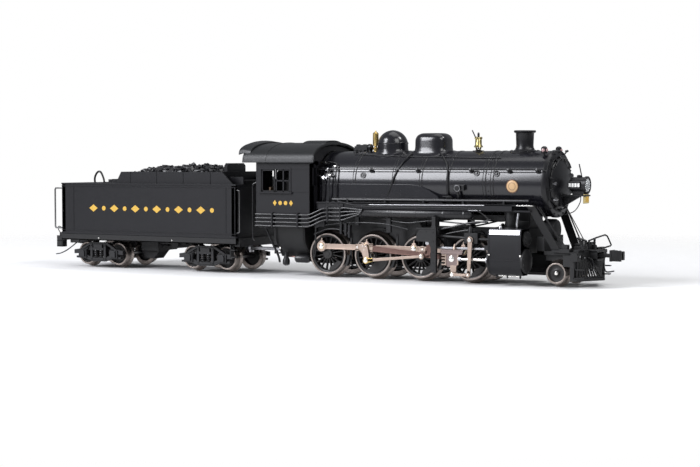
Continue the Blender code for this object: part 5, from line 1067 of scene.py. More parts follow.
def wheel_rim(piece, x, radius, side, flange, inner):
    """Bright tyre with its flange and tapered tread, and the blackened rim inside it."""
    s = lambda v: side * v
    centre = (x, radius)
    piece.add(TYRE, turned([(s(WHEEL_BACK), radius - 0.5), (s(WHEEL_BACK), radius + flange - 0.12),
        (s(3.88), radius + flange),
                            (s(4.05), radius + flange - 0.08), (s(4.25), radius + 0.08), (s(4.4), radius),
                            (s(WHEEL_FACE - 0.12), radius - 0.06),
                            (s(WHEEL_FACE), radius - 0.16), (s(WHEEL_FACE), radius - 0.42),
                            (s(WHEEL_FACE - 0.12), radius - 0.5)],
                           centre, "Y", 72, True))
    piece.add(SPOKE, turned([(s(3.95), radius - 0.48), (s(5.6), radius - 0.48), (s(5.5), inner),
        (s(4.2), inner)], centre, "Y", 64, True))


def drivers(index):
    x, main = DRIVER_X[index], index == 1
    body = "main_driver" if main else f"driver_{index + 1}"
    piece = Piece(f"driver_wheelset_{index + 1}", body, "tyre_steel", f"driver_{index + 1}")
    centre = (x, DRIVER_R)
    for side in SIDES:
        s = lambda v: side * v
        wheel_rim(piece, x, DRIVER_R, side, DRIVER_FLANGE, 3.42)
        turn = radians(CRANK_ANGLE[side])
        crank = (x + CRANK_THROW * cos(turn), DRIVER_R + CRANK_THROW * sin(turn))
        for k in range(SPOKES):
            a = 2 * pi * (k + 0.5) / SPOKES
            way = Vector((cos(a), sin(a)))
            rings = []
            for r, half, near, far in ((0.7, 0.2, 4.7, 5.62), (2.0, 0.15, 4.8, 5.5),
                (3.55, 0.15, 4.7, 5.42)):
                spot, across = way * r, Vector((-way.y, way.x)) * half
                ring = [(x + spot.x + across.x * u, s(v), DRIVER_R + spot.y + across.y * u)
                        for u, v in ((-1, near + 0.15), (-1, far - 0.15), (-0.4, far), (0.4, far),
                        (1, far - 0.15), (1, near + 0.15))]
                rings.append(ring)
            piece.add(SPOKE, tube(rings))
        piece.add(SPOKE, turned([(s(4.2), 1.0), (s(5.6), 1.08), (s(5.85), 1.0), (s(5.9), 0.75)], centre,
            "Y", 32),
                  slab(capsule(centre, crank, 0.95, 0.82), s(4.9), s(5.72)),
                  turned([(s(5.0), 0.85), (s(5.85), 0.8), (s(5.92), 0.7)], crank, "Y", 28))
        weight = turn + pi
        span = 66 if main else 32
        arc = [(x + 3.5 * cos(weight + radians(a)), DRIVER_R + 3.5 * sin(weight + radians(a)))
            for a in range(-span, span + 1, 6)]
        depth = 1.15 if main else 2.2
        inner = [(x + r * cos(weight + radians(a)), DRIVER_R + r * sin(weight + radians(a)))
                 for a, r in ((span * 0.8, 2.75), (span * 0.4, depth + 0.35), (0, depth + 0.15),
                 (-span * 0.4, depth + 0.35), (-span * 0.8, 2.75))]
        piece.add(SPOKE, slab(arc + inner, s(4.6), s(5.7)))
        piece.add(PIN if main else SPOKE, turned([(s(5.85), 0.5), (s(5.98), 0.46), (s(5.99), 0.2)], centre,
            "Y", 20))
        end = MAIN_ROD_Y[1] + 0.03 if main else SIDE_ROD_Y[1] + 0.04
        piece.add(PIN, disc(crank, 0.42, s(5.85), s(end), "Y", 24))
        if not main:
            piece.add(PIN, turned([(s(end), 0.62), (s(end + 0.1), 0.62), (s(end + 0.15), 0.5)], crank, "Y",
                6))
    piece.add(STEEL, disc(centre, 0.75, -4.2, 4.2, "Y", 28))
    if main:
        gear = []
        for i in range(20):
            middle, pitch = pi / 2 + 2 * pi * (i + 0.5) / 20, 2 * pi / 20
            gear += [(x + r * cos(middle + pitch * share), DRIVER_R + r * sin(middle + pitch * share))
                     for share, r in ((-0.24, 2.84), (-0.12, 3.38), (0.12, 3.38), (0.24, 2.84))]
        piece.add(WHITE, slab(gear, -0.6, 0.6))
    piece.done(0.03)


def small_wheels(name, body, x, radius, stands_for, axle_end, axle_radius, spoked):
    piece = Piece(name, body, "tyre_steel", stands_for)
    centre = (x, radius)
    for side in SIDES:
        s = lambda v: side * v
        wheel_rim(piece, x, radius, side, SMALL_FLANGE, radius * 0.7)
        piece.add(SPOKE, turned([(s(4.3), radius * 0.72), (s(5.3), radius * 0.72), (s(5.2), radius * 0.45),
            (s(5.35), 0.62), (s(5.6), 0.55),
                                 (s(5.6), 0.05)], centre, "Y", 40))
        if spoked:
            piece.add(TRIM, *[turned([(s(5.15), 0.2), (s(5.24), 0.18)],
                (x + radius * 0.56 * cos(a), radius + radius * 0.56 * sin(a)), "Y", 10)
                              for a in (pi / 2 * k + 0.4 for k in range(4))])
        piece.add(PIN, turned([(s(5.5), 0.36), (s(5.72), 0.32), (s(5.76), 0.1)], centre, "Y", 16))
    piece.add(STEEL, disc(centre, axle_radius, -axle_end, axle_end, "Y", 20))
    piece.done(0.03)


# ---------------------------------------------------------------- rods and valve gear


def crank_pin(x, side):
    a = radians(CRANK_ANGLE[side])
    return x + CRANK_THROW * cos(a), DRIVER_R + CRANK_THROW * sin(a)


def eccentric_pin(side):
    a = radians(CRANK_ANGLE[side] + ECCENTRIC_LEAD)
    return ECCENTRIC_THROW * cos(a), DRIVER_R + ECCENTRIC_THROW * sin(a)


def wrist(side):
    x, z = crank_pin(0, side)
    return x + sqrt(MAIN_ROD_LENGTH ** 2 - (z - PISTON_Z) ** 2), PISTON_Z


def link_foot(side):
    """Where the eccentric rod meets the expansion link's foot: the lower crossing of two circles."""
    pin = Vector(eccentric_pin(side))
    gap = Vector(TRUNNION) - pin
    reach = hypot(TRUNNION[0] - LINK_FOOT[0], TRUNNION[1] - LINK_FOOT[1])
    part = (ECCENTRIC_ROD_LENGTH ** 2 - reach ** 2 + gap.length ** 2) / (2 * gap.length)
    height = sqrt(ECCENTRIC_ROD_LENGTH ** 2 - part ** 2)
    mid = pin + gap.normalized() * part
    off = Vector((-gap.y, gap.x)).normalized() * height
    return min((tuple(mid + off), tuple(mid - off)), key=lambda p: p[1])


def lever_foot(side):
    shift = wrist(side)[0] - wrist(RIGHT)[0]
    lean = asin((22.3 + shift - LEVER_TOP[0]) / LEVER_LENGTH)
    return LEVER_TOP[0] + LEVER_LENGTH * sin(lean), LEVER_TOP[1] - LEVER_LENGTH * cos(lean)


def eye_ring(centre, outer, inner, side, plane):
    return washer(centre, outer, inner, side * plane[0], side * plane[1], "Y", 28)


def side_rod(side):
    name = f"side_rod_{SIDE_NAME[side]}"
    piece = Piece(f"coupling_rod_{SIDE_NAME[side]}", name, "rod_steel", name)
    s = lambda v: side * v
    pins = [crank_pin(x, side) for x in DRIVER_X]
    z, (low, high) = pins[0][1], SIDE_ROD_Y
    for k, (a, b) in enumerate(zip(pins, pins[1:])):
        start, end = a[0] + 0.75, b[0] - 0.75
        piece.add(ROD, block((start, end), (s(low + 0.05), s(high - 0.12)), (z - 0.54, z + 0.54)),
                  block((start, end), (s(low), s(high)), (z + 0.32, z + 0.54)),
                  block((start, end), (s(low), s(high)), (z - 0.54, z - 0.32)))
    for k, pin in enumerate(pins):
        radius = (1.05, 1.0, 0.92, 0.92)[k]
        piece.add(ROD, eye_ring(pin, radius, 0.47, side, (low, high + 0.02)))
        piece.add(BRASS, washer(pin, 0.66, 0.47, s(low), s(high + 0.03), "Y", 24))
        piece.add(ROD, block((pin[0] - 0.42, pin[0] + 0.42), (s(low + 0.02), s(high - 0.02)),
            (z + 0.75, z + 1.15)),
                  turned([(z + 1.1, 0.2), (z + 1.3, 0.19), (z + 1.75, 0.06)], (pin[0], s((low + high) / 2)),
                  "Z", 12))
    for x in (pins[1][0] - 2.1, pins[2][0] + 1.9):
        piece.add(ROD, disc((x, z), 0.68, s(low), s(high), "Y", 24))
        piece.add(PIN, turned([(s(high - 0.05), 0.26), (s(high + 0.06), 0.2)], (x, z), "Y", 14))
    piece.done(0.04)


def main_rod(side):
    name = f"main_rod_{SIDE_NAME[side]}"
    piece = Piece(f"connecting_rod_{SIDE_NAME[side]}", name, "rod_steel", name)
    s = lambda v: side * v
    big, small = Vector(crank_pin(0, side)), Vector(wrist(side))
    way = (small - big).normalized()
    up = Vector((-way.y, way.x))
    low, high = MAIN_ROD_Y
    start, end = big + way * 0.9, small - way * 0.7
    piece.add(DARK_ROD, slab(strip(start, end, 1.14, 0.86), s(low), s(high - 0.14)))
    for edge in (1, -1):
        piece.add(DARK_ROD, slab(strip(start + up * 0.46 * edge, end + up * 0.32 * edge, 0.22), s(low),
            s(high)))
    piece.add(ROD, slab(strip(big - way * 1.15, big - way * 0.8, 1.9), s(low), s(high)),
        slab(strip(big + way * 0.8, big + way * 1.75, 1.9), s(low), s(high)),
              slab(strip(big - way * 1.15 + up * 0.8, big + way * 1.75 + up * 0.8, 0.34), s(low), s(high)),
              slab(strip(big - way * 1.15 - up * 0.8, big + way * 1.75 - up * 0.8, 0.34), s(low), s(high)),
              eye_ring(tuple(small), 0.85, 0.45, side, MAIN_ROD_Y))
    piece.add(BRASS, eye_ring(tuple(big), 0.84, 0.48, side, (low, high + 0.01)),
        eye_ring(tuple(small), 0.5, 0.3, side, (low, high)))
    piece.done(0.04)


def return_crank(side):
    name = f"eccentric_crank_{SIDE_NAME[side]}"
    piece = Piece(f"return_crank_{SIDE_NAME[side]}", "main_driver", "rod_steel", name)
    s = lambda v: side * v
    crank, pin = crank_pin(0, side), eccentric_pin(side)
    low, high = RETURN_CRANK_Y
    lobe = [(crank[0] - 1.5, crank[1] + 0.65), (crank[0] + 0.5, crank[1] + 0.75),
        (crank[0] + 0.7, crank[1] - 0.5), (crank[0] - 0.6, crank[1] - 0.7)]
    piece.add(ROD, slab(capsule(crank, pin, 0.82, 0.6), s(low), s(high)),
        slab(lobe, s(low + 0.04), s(high - 0.05)))
    piece.add(PIN, disc(pin, 0.3, s(7.4), s(8.0), "Y", 20),
        turned([(s(7.99), 0.5), (s(8.08), 0.5), (s(8.14), 0.3)], pin, "Y", 24),
              *[turned([(s(high - 0.02), 0.15), (s(high + 0.08), 0.12)], (crank[0] + dx, crank[1] + dz),
              "Y", 10)
                for dx, dz in ((-0.3, 0.3), (0.3, 0.3), (0, -0.35))])
    piece.done(0.04)


def eccentric_rod(side):
    name = f"eccentric_rod_{SIDE_NAME[side]}"
    piece = Piece(f"valve_rod_{SIDE_NAME[side]}", name, "rod_steel", name)
    pin, foot = Vector(eccentric_pin(side)), Vector(link_foot(side))
    s = lambda v: side * v
    low, high = ECCENTRIC_ROD_Y
    way = (foot - pin).normalized()
    piece.add(ROD, slab(strip(pin + way * 0.5, foot - way * 0.4, 0.62, 0.5), s(low), s(high)),
        eye_ring(tuple(foot), 0.56, 0.2, side, ECCENTRIC_ROD_Y))
    piece.add(BRASS, eye_ring(tuple(pin), 0.64, 0.37, side, ECCENTRIC_ROD_Y),
        slab(strip(pin + way * 0.5, pin + way * 1.7, 0.9, 0.6), s(low), s(high)))
    piece.add(PIN, turned([(s(7.62), 0.3), (s(8.0), 0.36), (s(8.1), 0.34), (s(8.16), 0.2)], tuple(foot),
        "Y", 20))
    piece.done(0.04)


def expansion_link(side):
    name = f"expansion_link_{SIDE_NAME[side]}"
    piece = Piece(f"link_{SIDE_NAME[side]}", name, "frame_black", name)
    s = lambda v: side * v
    foot = link_foot(side)
    swing = atan2(foot[1] - TRUNNION[1], foot[0] - TRUNNION[0]) - atan2(LINK_FOOT[1] - TRUNNION[1],
        LINK_FOOT[0] - TRUNNION[0])
    turn = Matrix.Rotation(swing, 2)
    placed = lambda points: [tuple(turn @ (Vector(p) - Vector(TRUNNION)) + Vector(TRUNNION))
        for p in points]

    def band(half, spread, shift=0.0):
        centre = TRUNNION[0] - 8.0
        edge = lambda off, way: [(centre + (8.0 + shift + off) * cos(radians(a)),
            TRUNNION[1] + (8.0 + shift + off) * sin(radians(a)))
                                 for a in range(-spread * way, (spread + 1) * way, 2 * way)]
        return placed(edge(half, 1) + edge(-half, -1))

    low, high = RETURN_CRANK_Y
    piece.add(DARK_ROD, slab(band(0.2, 17, 0.36), s(low), s(high)),
        slab(band(0.2, 17, -0.36), s(low), s(high)), slab(band(0.5, 17), s(low + 0.1), s(high - 0.08)),
              slab(placed(capsule((12.95, 5.2), LINK_FOOT, 0.5, 0.45)), s(low), s(high)),
              disc(TRUNNION, 0.72, s(low), s(high + 0.08), "Y", 24))
    piece.add(PIN, turned([(s(7.5), 0.3), (s(7.98), 0.28)], TRUNNION, "Y", 20))
    piece.done(0.04)


def crosshead(side):
    name = f"crosshead_{SIDE_NAME[side]}"
    piece = Piece(f"piston_crosshead_{SIDE_NAME[side]}", name, "rod_steel", name)
    s = lambda v: side * v
    x, z = wrist(side)
    low, high = CROSSHEAD_Y
    piece.add(CROSS, block((x - 2.3, x + 2.4), (s(low), s(high)), (5.45, 6.0)),
        block((x - 2.2, x + 2.3), (s(7.35), s(high + 0.03)), (5.1, 5.5)))
    body = [(x - 1.3, 5.4), (x + 1.4, 5.4), (x + 1.5, 4.7), (x + 1.5, 3.3), (x + 0.9, 2.7), (x - 0.9, 2.7),
        (x - 1.3, 3.2)]
    piece.add(CROSS, slab(body, s(low), s(high - 0.1)))
    piece.add(ROD, block((x - 1.35, x - 1.1), (s(7.3), s(high)), (3.0, 5.4)),
        block((x + 1.2, x + 1.5), (s(7.3), s(high)), (3.1, 5.4)),
              block((x - 0.15, x + 0.1), (s(high - 0.15), s(high)), (4.8, 5.4)),
              slab([(x - 0.3, 3.0), (x + 1.1, 3.0), (x + 0.95, 0.95), (x - 0.02, 0.95)], s(7.75), s(high)),
              *[block((x - 2.2, x - 1.2), (s(7.4), s(7.9)), (k, k + 0.24)) for k in (3.0, 3.6, 4.2, 4.8)],
              turned([(5.95, 0.34), (6.35, 0.34), (6.5, 0.24), (7.2, 0.06)], (x + 0.6, s(7.93)), "Z", 14))
    piece.add(PIN, turned([(s(7.9), 0.6), (s(8.08), 0.6), (s(8.14), 0.45)], (x, z), "Y", 24),
        disc((s(PISTON_Y), PISTON_Z), 0.28, x + 1.0, x + 10.4, "X", 20),
              turned([(s(8.0), 0.24), (s(8.8), 0.24), (s(8.8), 0.4), (s(8.88), 0.34)],
              (x + DROP_ARM_PIN[0], DROP_ARM_PIN[1]), "Y", 20))
    piece.add(STEEL, turned([(x + 1.4, 0.5), (x + 2.0, 0.5), (x + 2.1, 0.34)], (s(PISTON_Y), PISTON_Z), "X",
        16))
    piece.done(0.04)


def lever_and_link(side):
    s = lambda v: side * v
    name = f"combination_lever_{SIDE_NAME[side]}"
    foot = lever_foot(side)
    piece = Piece(f"valve_lever_{SIDE_NAME[side]}", name, "rod_steel", name)
    low, high = LEVER_Y
    top, bottom = Vector(LEVER_TOP), Vector(foot)
    way = (bottom - top).normalized()
    piece.add(ROD, slab(strip(top + way * 0.5, bottom - way * 0.3, 0.92, 0.66), s(low), s(high)),
        eye_ring(LEVER_TOP, 0.62, 0.33, side, LEVER_Y))
    piece.add(ROD, slab(capsule(tuple(bottom - way * 0.5), tuple(bottom), 0.36, 0.4), s(low), s(high)))
    piece.done(0.04)
    name = f"union_link_{SIDE_NAME[side]}"
    pin = Vector((wrist(side)[0] + DROP_ARM_PIN[0], DROP_ARM_PIN[1]))
    piece = Piece(f"drop_link_{SIDE_NAME[side]}", name, "rod_steel", name)
    low, high = UNION_LINK_Y
    way = (bottom - pin).normalized()
    piece.add(ROD, slab(strip(pin + way * 0.35, bottom - way * 0.3, 0.5), s(low), s(high)),
        eye_ring(tuple(pin), 0.44, 0.32, side, UNION_LINK_Y),
              eye_ring(foot, 0.44, 0.15, side, UNION_LINK_Y))
    piece.add(PIN, turned([(s(low + 0.02), 0.16), (s(high + 0.04), 0.2), (s(high + 0.1), 0.12)], foot, "Y",
        14))
    piece.done(0.03)


# ---------------------------------------------------------------- couplers, tender


# uncoupling pins: steps ahead of the pivot, across, and from the coupler's underside
FRONT_TRIP = ((2.3, 0, 0.75), (2.2, 0, -0.2), (2.25, 0, -1.3), (2.6, 0, -2.0), (3.2, 0, -2.05),
    (4.2, 0, -1.85))
REAR_TRIP = ((3.4, 0, 0.15), (4.0, -0.5, -0.46), (5.2, -1.5, -1.66), (6.4, -2.3, -2.36), (7.6, -2.6, -2.6))


def coupler(name, body, pivot_x, face_x, way, trip):
    piece = Piece(f"{name}_head", name, "frame_black", name)
    z = COUPLER_Z
    low, high = z - 1.0, z + 1.0
    head = [(face_x - way * 2.3, -0.8), (face_x - way * 1.2, -0.95), (face_x - way * 0.2, -1.35),
        (face_x, -1.25), (face_x, -0.75),
            (face_x - way * 1.0, -0.2), (face_x - way * 1.1, 0.35), (face_x - way * 1.7, 0.9),
            (face_x - way * 2.3, 0.8)]
    piece.add(UNDER, block((pivot_x - way * 0.9, face_x - way * 1.9), (-0.5, 0.5), (z - 0.35, z + 0.35)),
        disc((pivot_x, 0), 0.9, z - 0.35, z + 0.35, "Z", 28),
              slab(head, low, high, "Z"), block((face_x - way * 2.35, face_x - way * 1.9), (-0.95, 0.95),
              (z - 1.05, z + 1.05)))
    piece.add(TRIM, pipe(smooth([(pivot_x + way * dx, y, low + dz) for dx, y, dz in trip]), 0.14, 8))
    piece.done(0.05)
    knuckle = Piece(name.replace("coupler", "knuckle") + "_hook", name.replace("coupler", "knuckle"),
        "frame_black", name.replace("coupler", "knuckle"))
    outline = [(face_x - way * 1.35, 1.35), (face_x - way * 0.7, 1.4), (face_x - way * 0.25, 1.25),
        (face_x, 0.9), (face_x, 0.1), (face_x - way * 0.35, 0.1),
               (face_x - way * 0.45, 0.55), (face_x - way * 0.95, 0.7)]
    knuckle.add(UNDER, slab(outline, z - 0.8, z + 0.8, "Z"),
        disc((face_x - way * 0.95, 0.98), 0.2, z - 0.95, z + 0.95, "Z", 12))
    knuckle.done(0.05)


def tender_tank():
    """Riveted tank with beading, bunker boards, hatch, lifting ring, lamp, rails and ladder."""
    piece = Piece("tank_body", "tender", "cab_paint", "tender_tank")
    top, bottom, half = TANK_TOP, TANK_BOTTOM, TANK_HALF
    piece.add(CAB, block((TANK_REAR + 0.3, TANK_FRONT - 0.3), (-half + 0.3, half - 0.3),
        (15.1, top - 0.05)),
              *[block((TANK_REAR, TANK_FRONT), (side * (half - 0.8), side * half), (bottom, top))
              for side in SIDES],
              block((TANK_REAR, TANK_REAR + 1.0), (-half, half), (bottom, top)),
              block((TANK_FRONT - 1.0, TANK_FRONT), (-half, half), (bottom, top)))
    for low, high in ((bottom, bottom + 0.4), (bottom + 0.75, bottom + 0.87), (top - 0.62, top - 0.5),
        (top - 0.2, top + 0.12)):
        piece.add(CAB, block((TANK_REAR - 0.1, TANK_FRONT + 0.1), (-half - 0.1, half + 0.1), (low, high)))
    for side in SIDES:
        s = lambda v: side * v
        normal = "Y" if side > 0 else "-Y"
        for x in (TANK_REAR + 0.1, TANK_REAR + 3.3, TANK_FRONT - 2.4, TANK_FRONT - 0.1):
            piece.add(CAB, block((x - 0.08, x + 0.08), (s(half - 0.1), s(half + 0.07)),
                (bottom + 0.8, top - 0.5)))
        for z in (bottom + 1.15, top - 0.9):
            piece.add(CAB, *rivets((TANK_REAR + 0.6, s(half), z), (TANK_FRONT - 0.6, s(half), z), 74,
                normal, 0.06))
        for x in (TANK_REAR + 0.5, TANK_REAR + 2.9, TANK_FRONT - 2.8, TANK_FRONT - 0.5):
            piece.add(CAB, *rivets((x, s(half), bottom + 1.5), (x, s(half), top - 1.3), 16, normal, 0.06))
        # plain ornamental gilt band of lozenges and dots
        for k in range(12):
            x = -68.0 + 2.87 * k
            if k % 2:
                piece.add(GILT, disc((x, 12.65), 0.5, s(half), s(half + 0.05), "Y", 24))
            else:
                piece.add(GILT, slab([(x - 1.15, 12.65), (x, 11.85), (x + 1.15, 12.65), (x, 13.45)],
                    s(half), s(half + 0.05)))
        piece.add(RAIL, pipe([(TANK_REAR, s(8.6), 16.9), (TANK_REAR - 2.2, s(8.8), 16.9),
            (TANK_REAR - 2.4, s(8.8), 16.6), (TANK_REAR - 2.4, s(8.8), 8.4),
                              (TANK_REAR - 2.2, s(8.8), 8.1), (TANK_REAR, s(8.6), 8.1)], 0.19, 8),
                  pipe([(TANK_FRONT, s(8.9), 16.9), (TANK_FRONT + 0.8, s(9.0), 16.8),
                  (TANK_FRONT + 0.8, s(9.0), 8.2), (TANK_FRONT, s(8.9), 8.0)], 0.13, 8))
        boards = [(-62.4, top), (-60.9, BUNKER_TOP), (-34.4, BUNKER_TOP), (-31.6, top)]
        piece.add(CAB, slab(boards, s(8.25), s(8.6)),
            *rivets((-60.8, s(8.6), BUNKER_TOP - 0.35), (-34.8, s(8.6), BUNKER_TOP - 0.35), 42, normal,
            0.05))
        piece.add(CAB, *[block((x, x + 0.2), (s(8.5), s(8.68)), (top, BUNKER_TOP))
            for x in (-58.5, -51.5, -44.5, -37.5)])
    bulkhead = [(-BULKHEAD_HALF, top), (-BULKHEAD_HALF, 21.9), (-BULKHEAD_HALF + 0.6, 22.45),
        (BULKHEAD_HALF - 0.6, 22.45), (BULKHEAD_HALF, 21.9), (BULKHEAD_HALF, top)]
    piece.add(CAB, tube([[(-62.4 + 1.5 * t, y, top + (BUNKER_TOP - top) * t) for t,
        y in ((0, -8.4), (0, 8.4), (1, 8.4), (1, -8.4))],
                         [(-61.9 + 1.5 * t, y, top + (BUNKER_TOP - top) * t) for t,
                         y in ((0, -8.4), (0, 8.4), (1, 8.4), (1, -8.4))]]),
              block((-36.0, -35.1), (-8.3, 8.3), (top, 20.7)),
              slab(bulkhead, -37.4, -36.6, "X"),
              block((-35.1, -30.8), (-6.0, -5.6), (top, 19.6)),
              block((-35.1, -30.8), (5.6, 6.0), (top, 19.6)),
              block((-35.1, -30.7), (-5.7, 5.7), (top, 18.9)))
    piece.add(TRIM, turned([(top - 0.1, 2.3), (top + 0.55, 2.3), (top + 0.7, 2.15), (top + 0.9, 0.6),
        (top + 0.95, 0.05)], (-69.6, 1.5), "Z", 36),
              bar((-69.6, -0.9, top + 0.75), (-69.6, 3.9, top + 0.75), 0.16, 8),
              block((-72.2, -71.9), (1.0, 2.0), (top, top + 0.8)),
              pipe(smooth([(-71.1, -5.0, top - 0.1), (-71.1, -5.0, top + 1.3), (-70.4, -5.0, top + 2.4),
              (-69.5, -5.0, top + 2.5), (-68.7, -5.0, top + 1.2),
                           (-68.4, -5.0, top - 0.1)]), 0.22, 10), block((-67.9, -63.0), (-5.6, -5.1), (top,
                           top + 0.35)),
              block((-63.2, -62.6), (-8.0, 8.0), (top, top + 0.5)))
    piece.add(TRIM, turned([(-77.3, 0.4), (-77.6, 0.75), (-78.6, 0.8), (-78.6, 0.6), (-78.2, 0.5)],
        (0, 15.6), "X", 20),
              *[pipe([(TANK_REAR, -6.2, z), (TANK_REAR - 0.5, -6.2, z), (TANK_REAR - 0.5, -4.4, z),
              (TANK_REAR, -4.4, z)], 0.1, 6)
                for k, z in enumerate((8.6, 10.3, 12.0, 13.7, 15.4))])
    piece.add(LENS, disc((0, 15.6), 0.62, -78.5, -78.2, "X", 20))
    piece.done(0.05)


def lump(centre, size, chance):
    """One broken lump of coal."""
    shell = bmesh.new()
    for _ in range(11):
        way = Vector((chance.uniform(-1, 1), chance.uniform(-1, 1), chance.uniform(-1, 1))).normalized()
        shell.verts.new(Vector(centre) + Vector((way.x * size, way.y * size,
            way.z * size * 0.75)) * chance.uniform(0.75, 1.1))
    bmesh.ops.convex_hull(shell, input=shell.verts)
    loose = [v for v in shell.verts if not v.link_faces]
    bmesh.ops.delete(shell, geom=loose, context="VERTS")
    shell.verts.index_update()
    shape = [tuple(v.co) for v in shell.verts], [tuple(v.index for v in face.verts) for face in shell.faces]
    shell.free()
    return shape


def coal():
    """Heap of broken coal, highest ahead of the middle."""
    chance = random.Random(11)
    piece = Piece("coal_heap", "tender", "coal_black", "coal_load")
    piece.add(COAL, block((-59.6, -36.4), (-7.8, 7.8), (16.3, 19.4)))

    def height(x, y):
        front = 2.5 * max(0.0, 1 - ((x + 46.0) / 7.9) ** 2) ** 0.55
        rear = 2.0 * max(0.0, 1 - ((x + 55.3) / 4.2) ** 2) ** 0.5
        return 19.6 + max(front, rear) * max(0.0, 1 - (y / 8.6) ** 2) ** 0.6

    x = -59.4
    while x < -36.6:
        y = -7.5
        while y < 7.6:
            px, py = x + chance.uniform(-0.35, 0.35), y + chance.uniform(-0.35, 0.35)
            size = chance.uniform(0.5, 0.85)
            piece.add(COAL, lump((max(-59.2, min(-36.8, px)), max(-7.4, min(7.4, py)),
                height(px, py) - 0.25 + chance.uniform(-0.15, 0.25)), size, chance))
            y += 0.95
        x += 0.95
    piece.done(0, angle=20)


def tender_frame():
    piece = Piece("tender_underframe", "tender", "truck_black", "tender_frame")
    piece.add(UNDER, block((-77.3, -30.2), (-8.6, 8.6), (6.3, 6.95)),
        block((-78.3, -77.0), (-8.6, 8.6), (5.4, 7.1)), block((-31.2, -30.0), (-8.6, 8.6), (5.2, 7.0)))
    for side in SIDES:
        s = lambda v: side * v
        piece.add(UNDER, block((-76.9, -30.5), (s(8.3), s(9.3)), (5.6, 5.85)),
            block((-76.9, -30.5), (s(9.05), s(9.3)), (5.6, 6.9)),
                  block((-79.0, -77.4), (s(7.3), s(8.7)), (3.9, 4.15)),
                  block((-77.6, -77.3), (s(7.3), s(8.7)), (3.9, 6.0)),
                  block((-79.0, -77.4), (s(7.3), s(8.7)), (5.2, 5.4)),
                  block((-79.0, -77.4), (s(8.5), s(8.7)), (3.9, 6.4)),
                  block((-32.1, -30.9), (s(7.8), s(9.1)), (2.9, 3.15)),
                  block((-32.1, -31.9), (s(7.8), s(9.1)), (2.9, 6.0)),
                  block((-32.1, -30.9), (s(7.8), s(9.1)), (4.4, 4.6)),
                  bar((-59.0, s(3.0), 5.1), (-47.6, s(3.0), 5.1), 0.2, 8),
                  *[rivet((x, s(9.3), 6.25), "Y" if side > 0 else "-Y", 0.09)
                  for x in (-74, -70.5, -66, -62, -58, -54, -50, -46, -42, -38.5, -35, -32)])
        piece.add(PIN, *[bolt((x, s(9.3), 6.1), "Y" if side > 0 else "-Y", 0.2, 0.12)
            for x in (-66.6, -46.8)])
        piece.add(TRIM, pipe(smooth([(-78.2, s(7.9), 6.6), (-78.9, s(8.2), 7.6), (-78.7, s(8.4), 8.4),
            (-77.6, s(8.4), 8.1)]), 0.1, 6))
    for x in TRUCK_X.values():
        piece.add(UNDER, disc((x, 0), 1.5, 5.6, 6.4, "Z", 28))
        piece.add(STEEL, disc((x, 0), 0.6, 3.2, 6.0, "Z", 20))
    piece.add(STEEL, disc((-33.2, 0), 0.5, 3.8, 6.4, "Z", 20),
        turned([(4.05, 0.85), (3.65, 0.85), (3.6, 0.6)], (-33.2, 0), "Z", 24))
    tank = [(-60.5, 6.3), (-60.5, 3.0), (-59.9, 1.7), (-57.4, 1.5), (-55.9, 3.2), (-54.8, 4.0),
        (-54.8, 6.3)]
    piece.add(UNDER, slab(tank, -1.8, 1.8), block((-59.4, -54.9), (-3.5, 3.5), (3.4, 6.3)),
        slab([(-54.9, 5.6), (-53.2, 5.6), (-53.2, 6.4), (-54.9, 6.4)], -3.0, 3.0),
              turned([(-3.8, 0.95), (3.8, 0.95)], (-50.2, 5.0), "Y", 20),
              bar((-54.8, 0, 4.4), (-45.4, 0, 5.6), 0.2, 8))
    piece.add(UNDER, block((-78.2, -75.6), (-1.9, 1.9), (4.3, 4.7)),
        block((-78.2, -75.6), (-1.9, 1.9), (6.0, 6.4)),
              block((-78.1, -75.6), (-1.9, -1.6), (4.5, 6.2)),
              block((-78.1, -75.6), (1.6, 1.9), (4.5, 6.2)))
    piece.done(0.04)


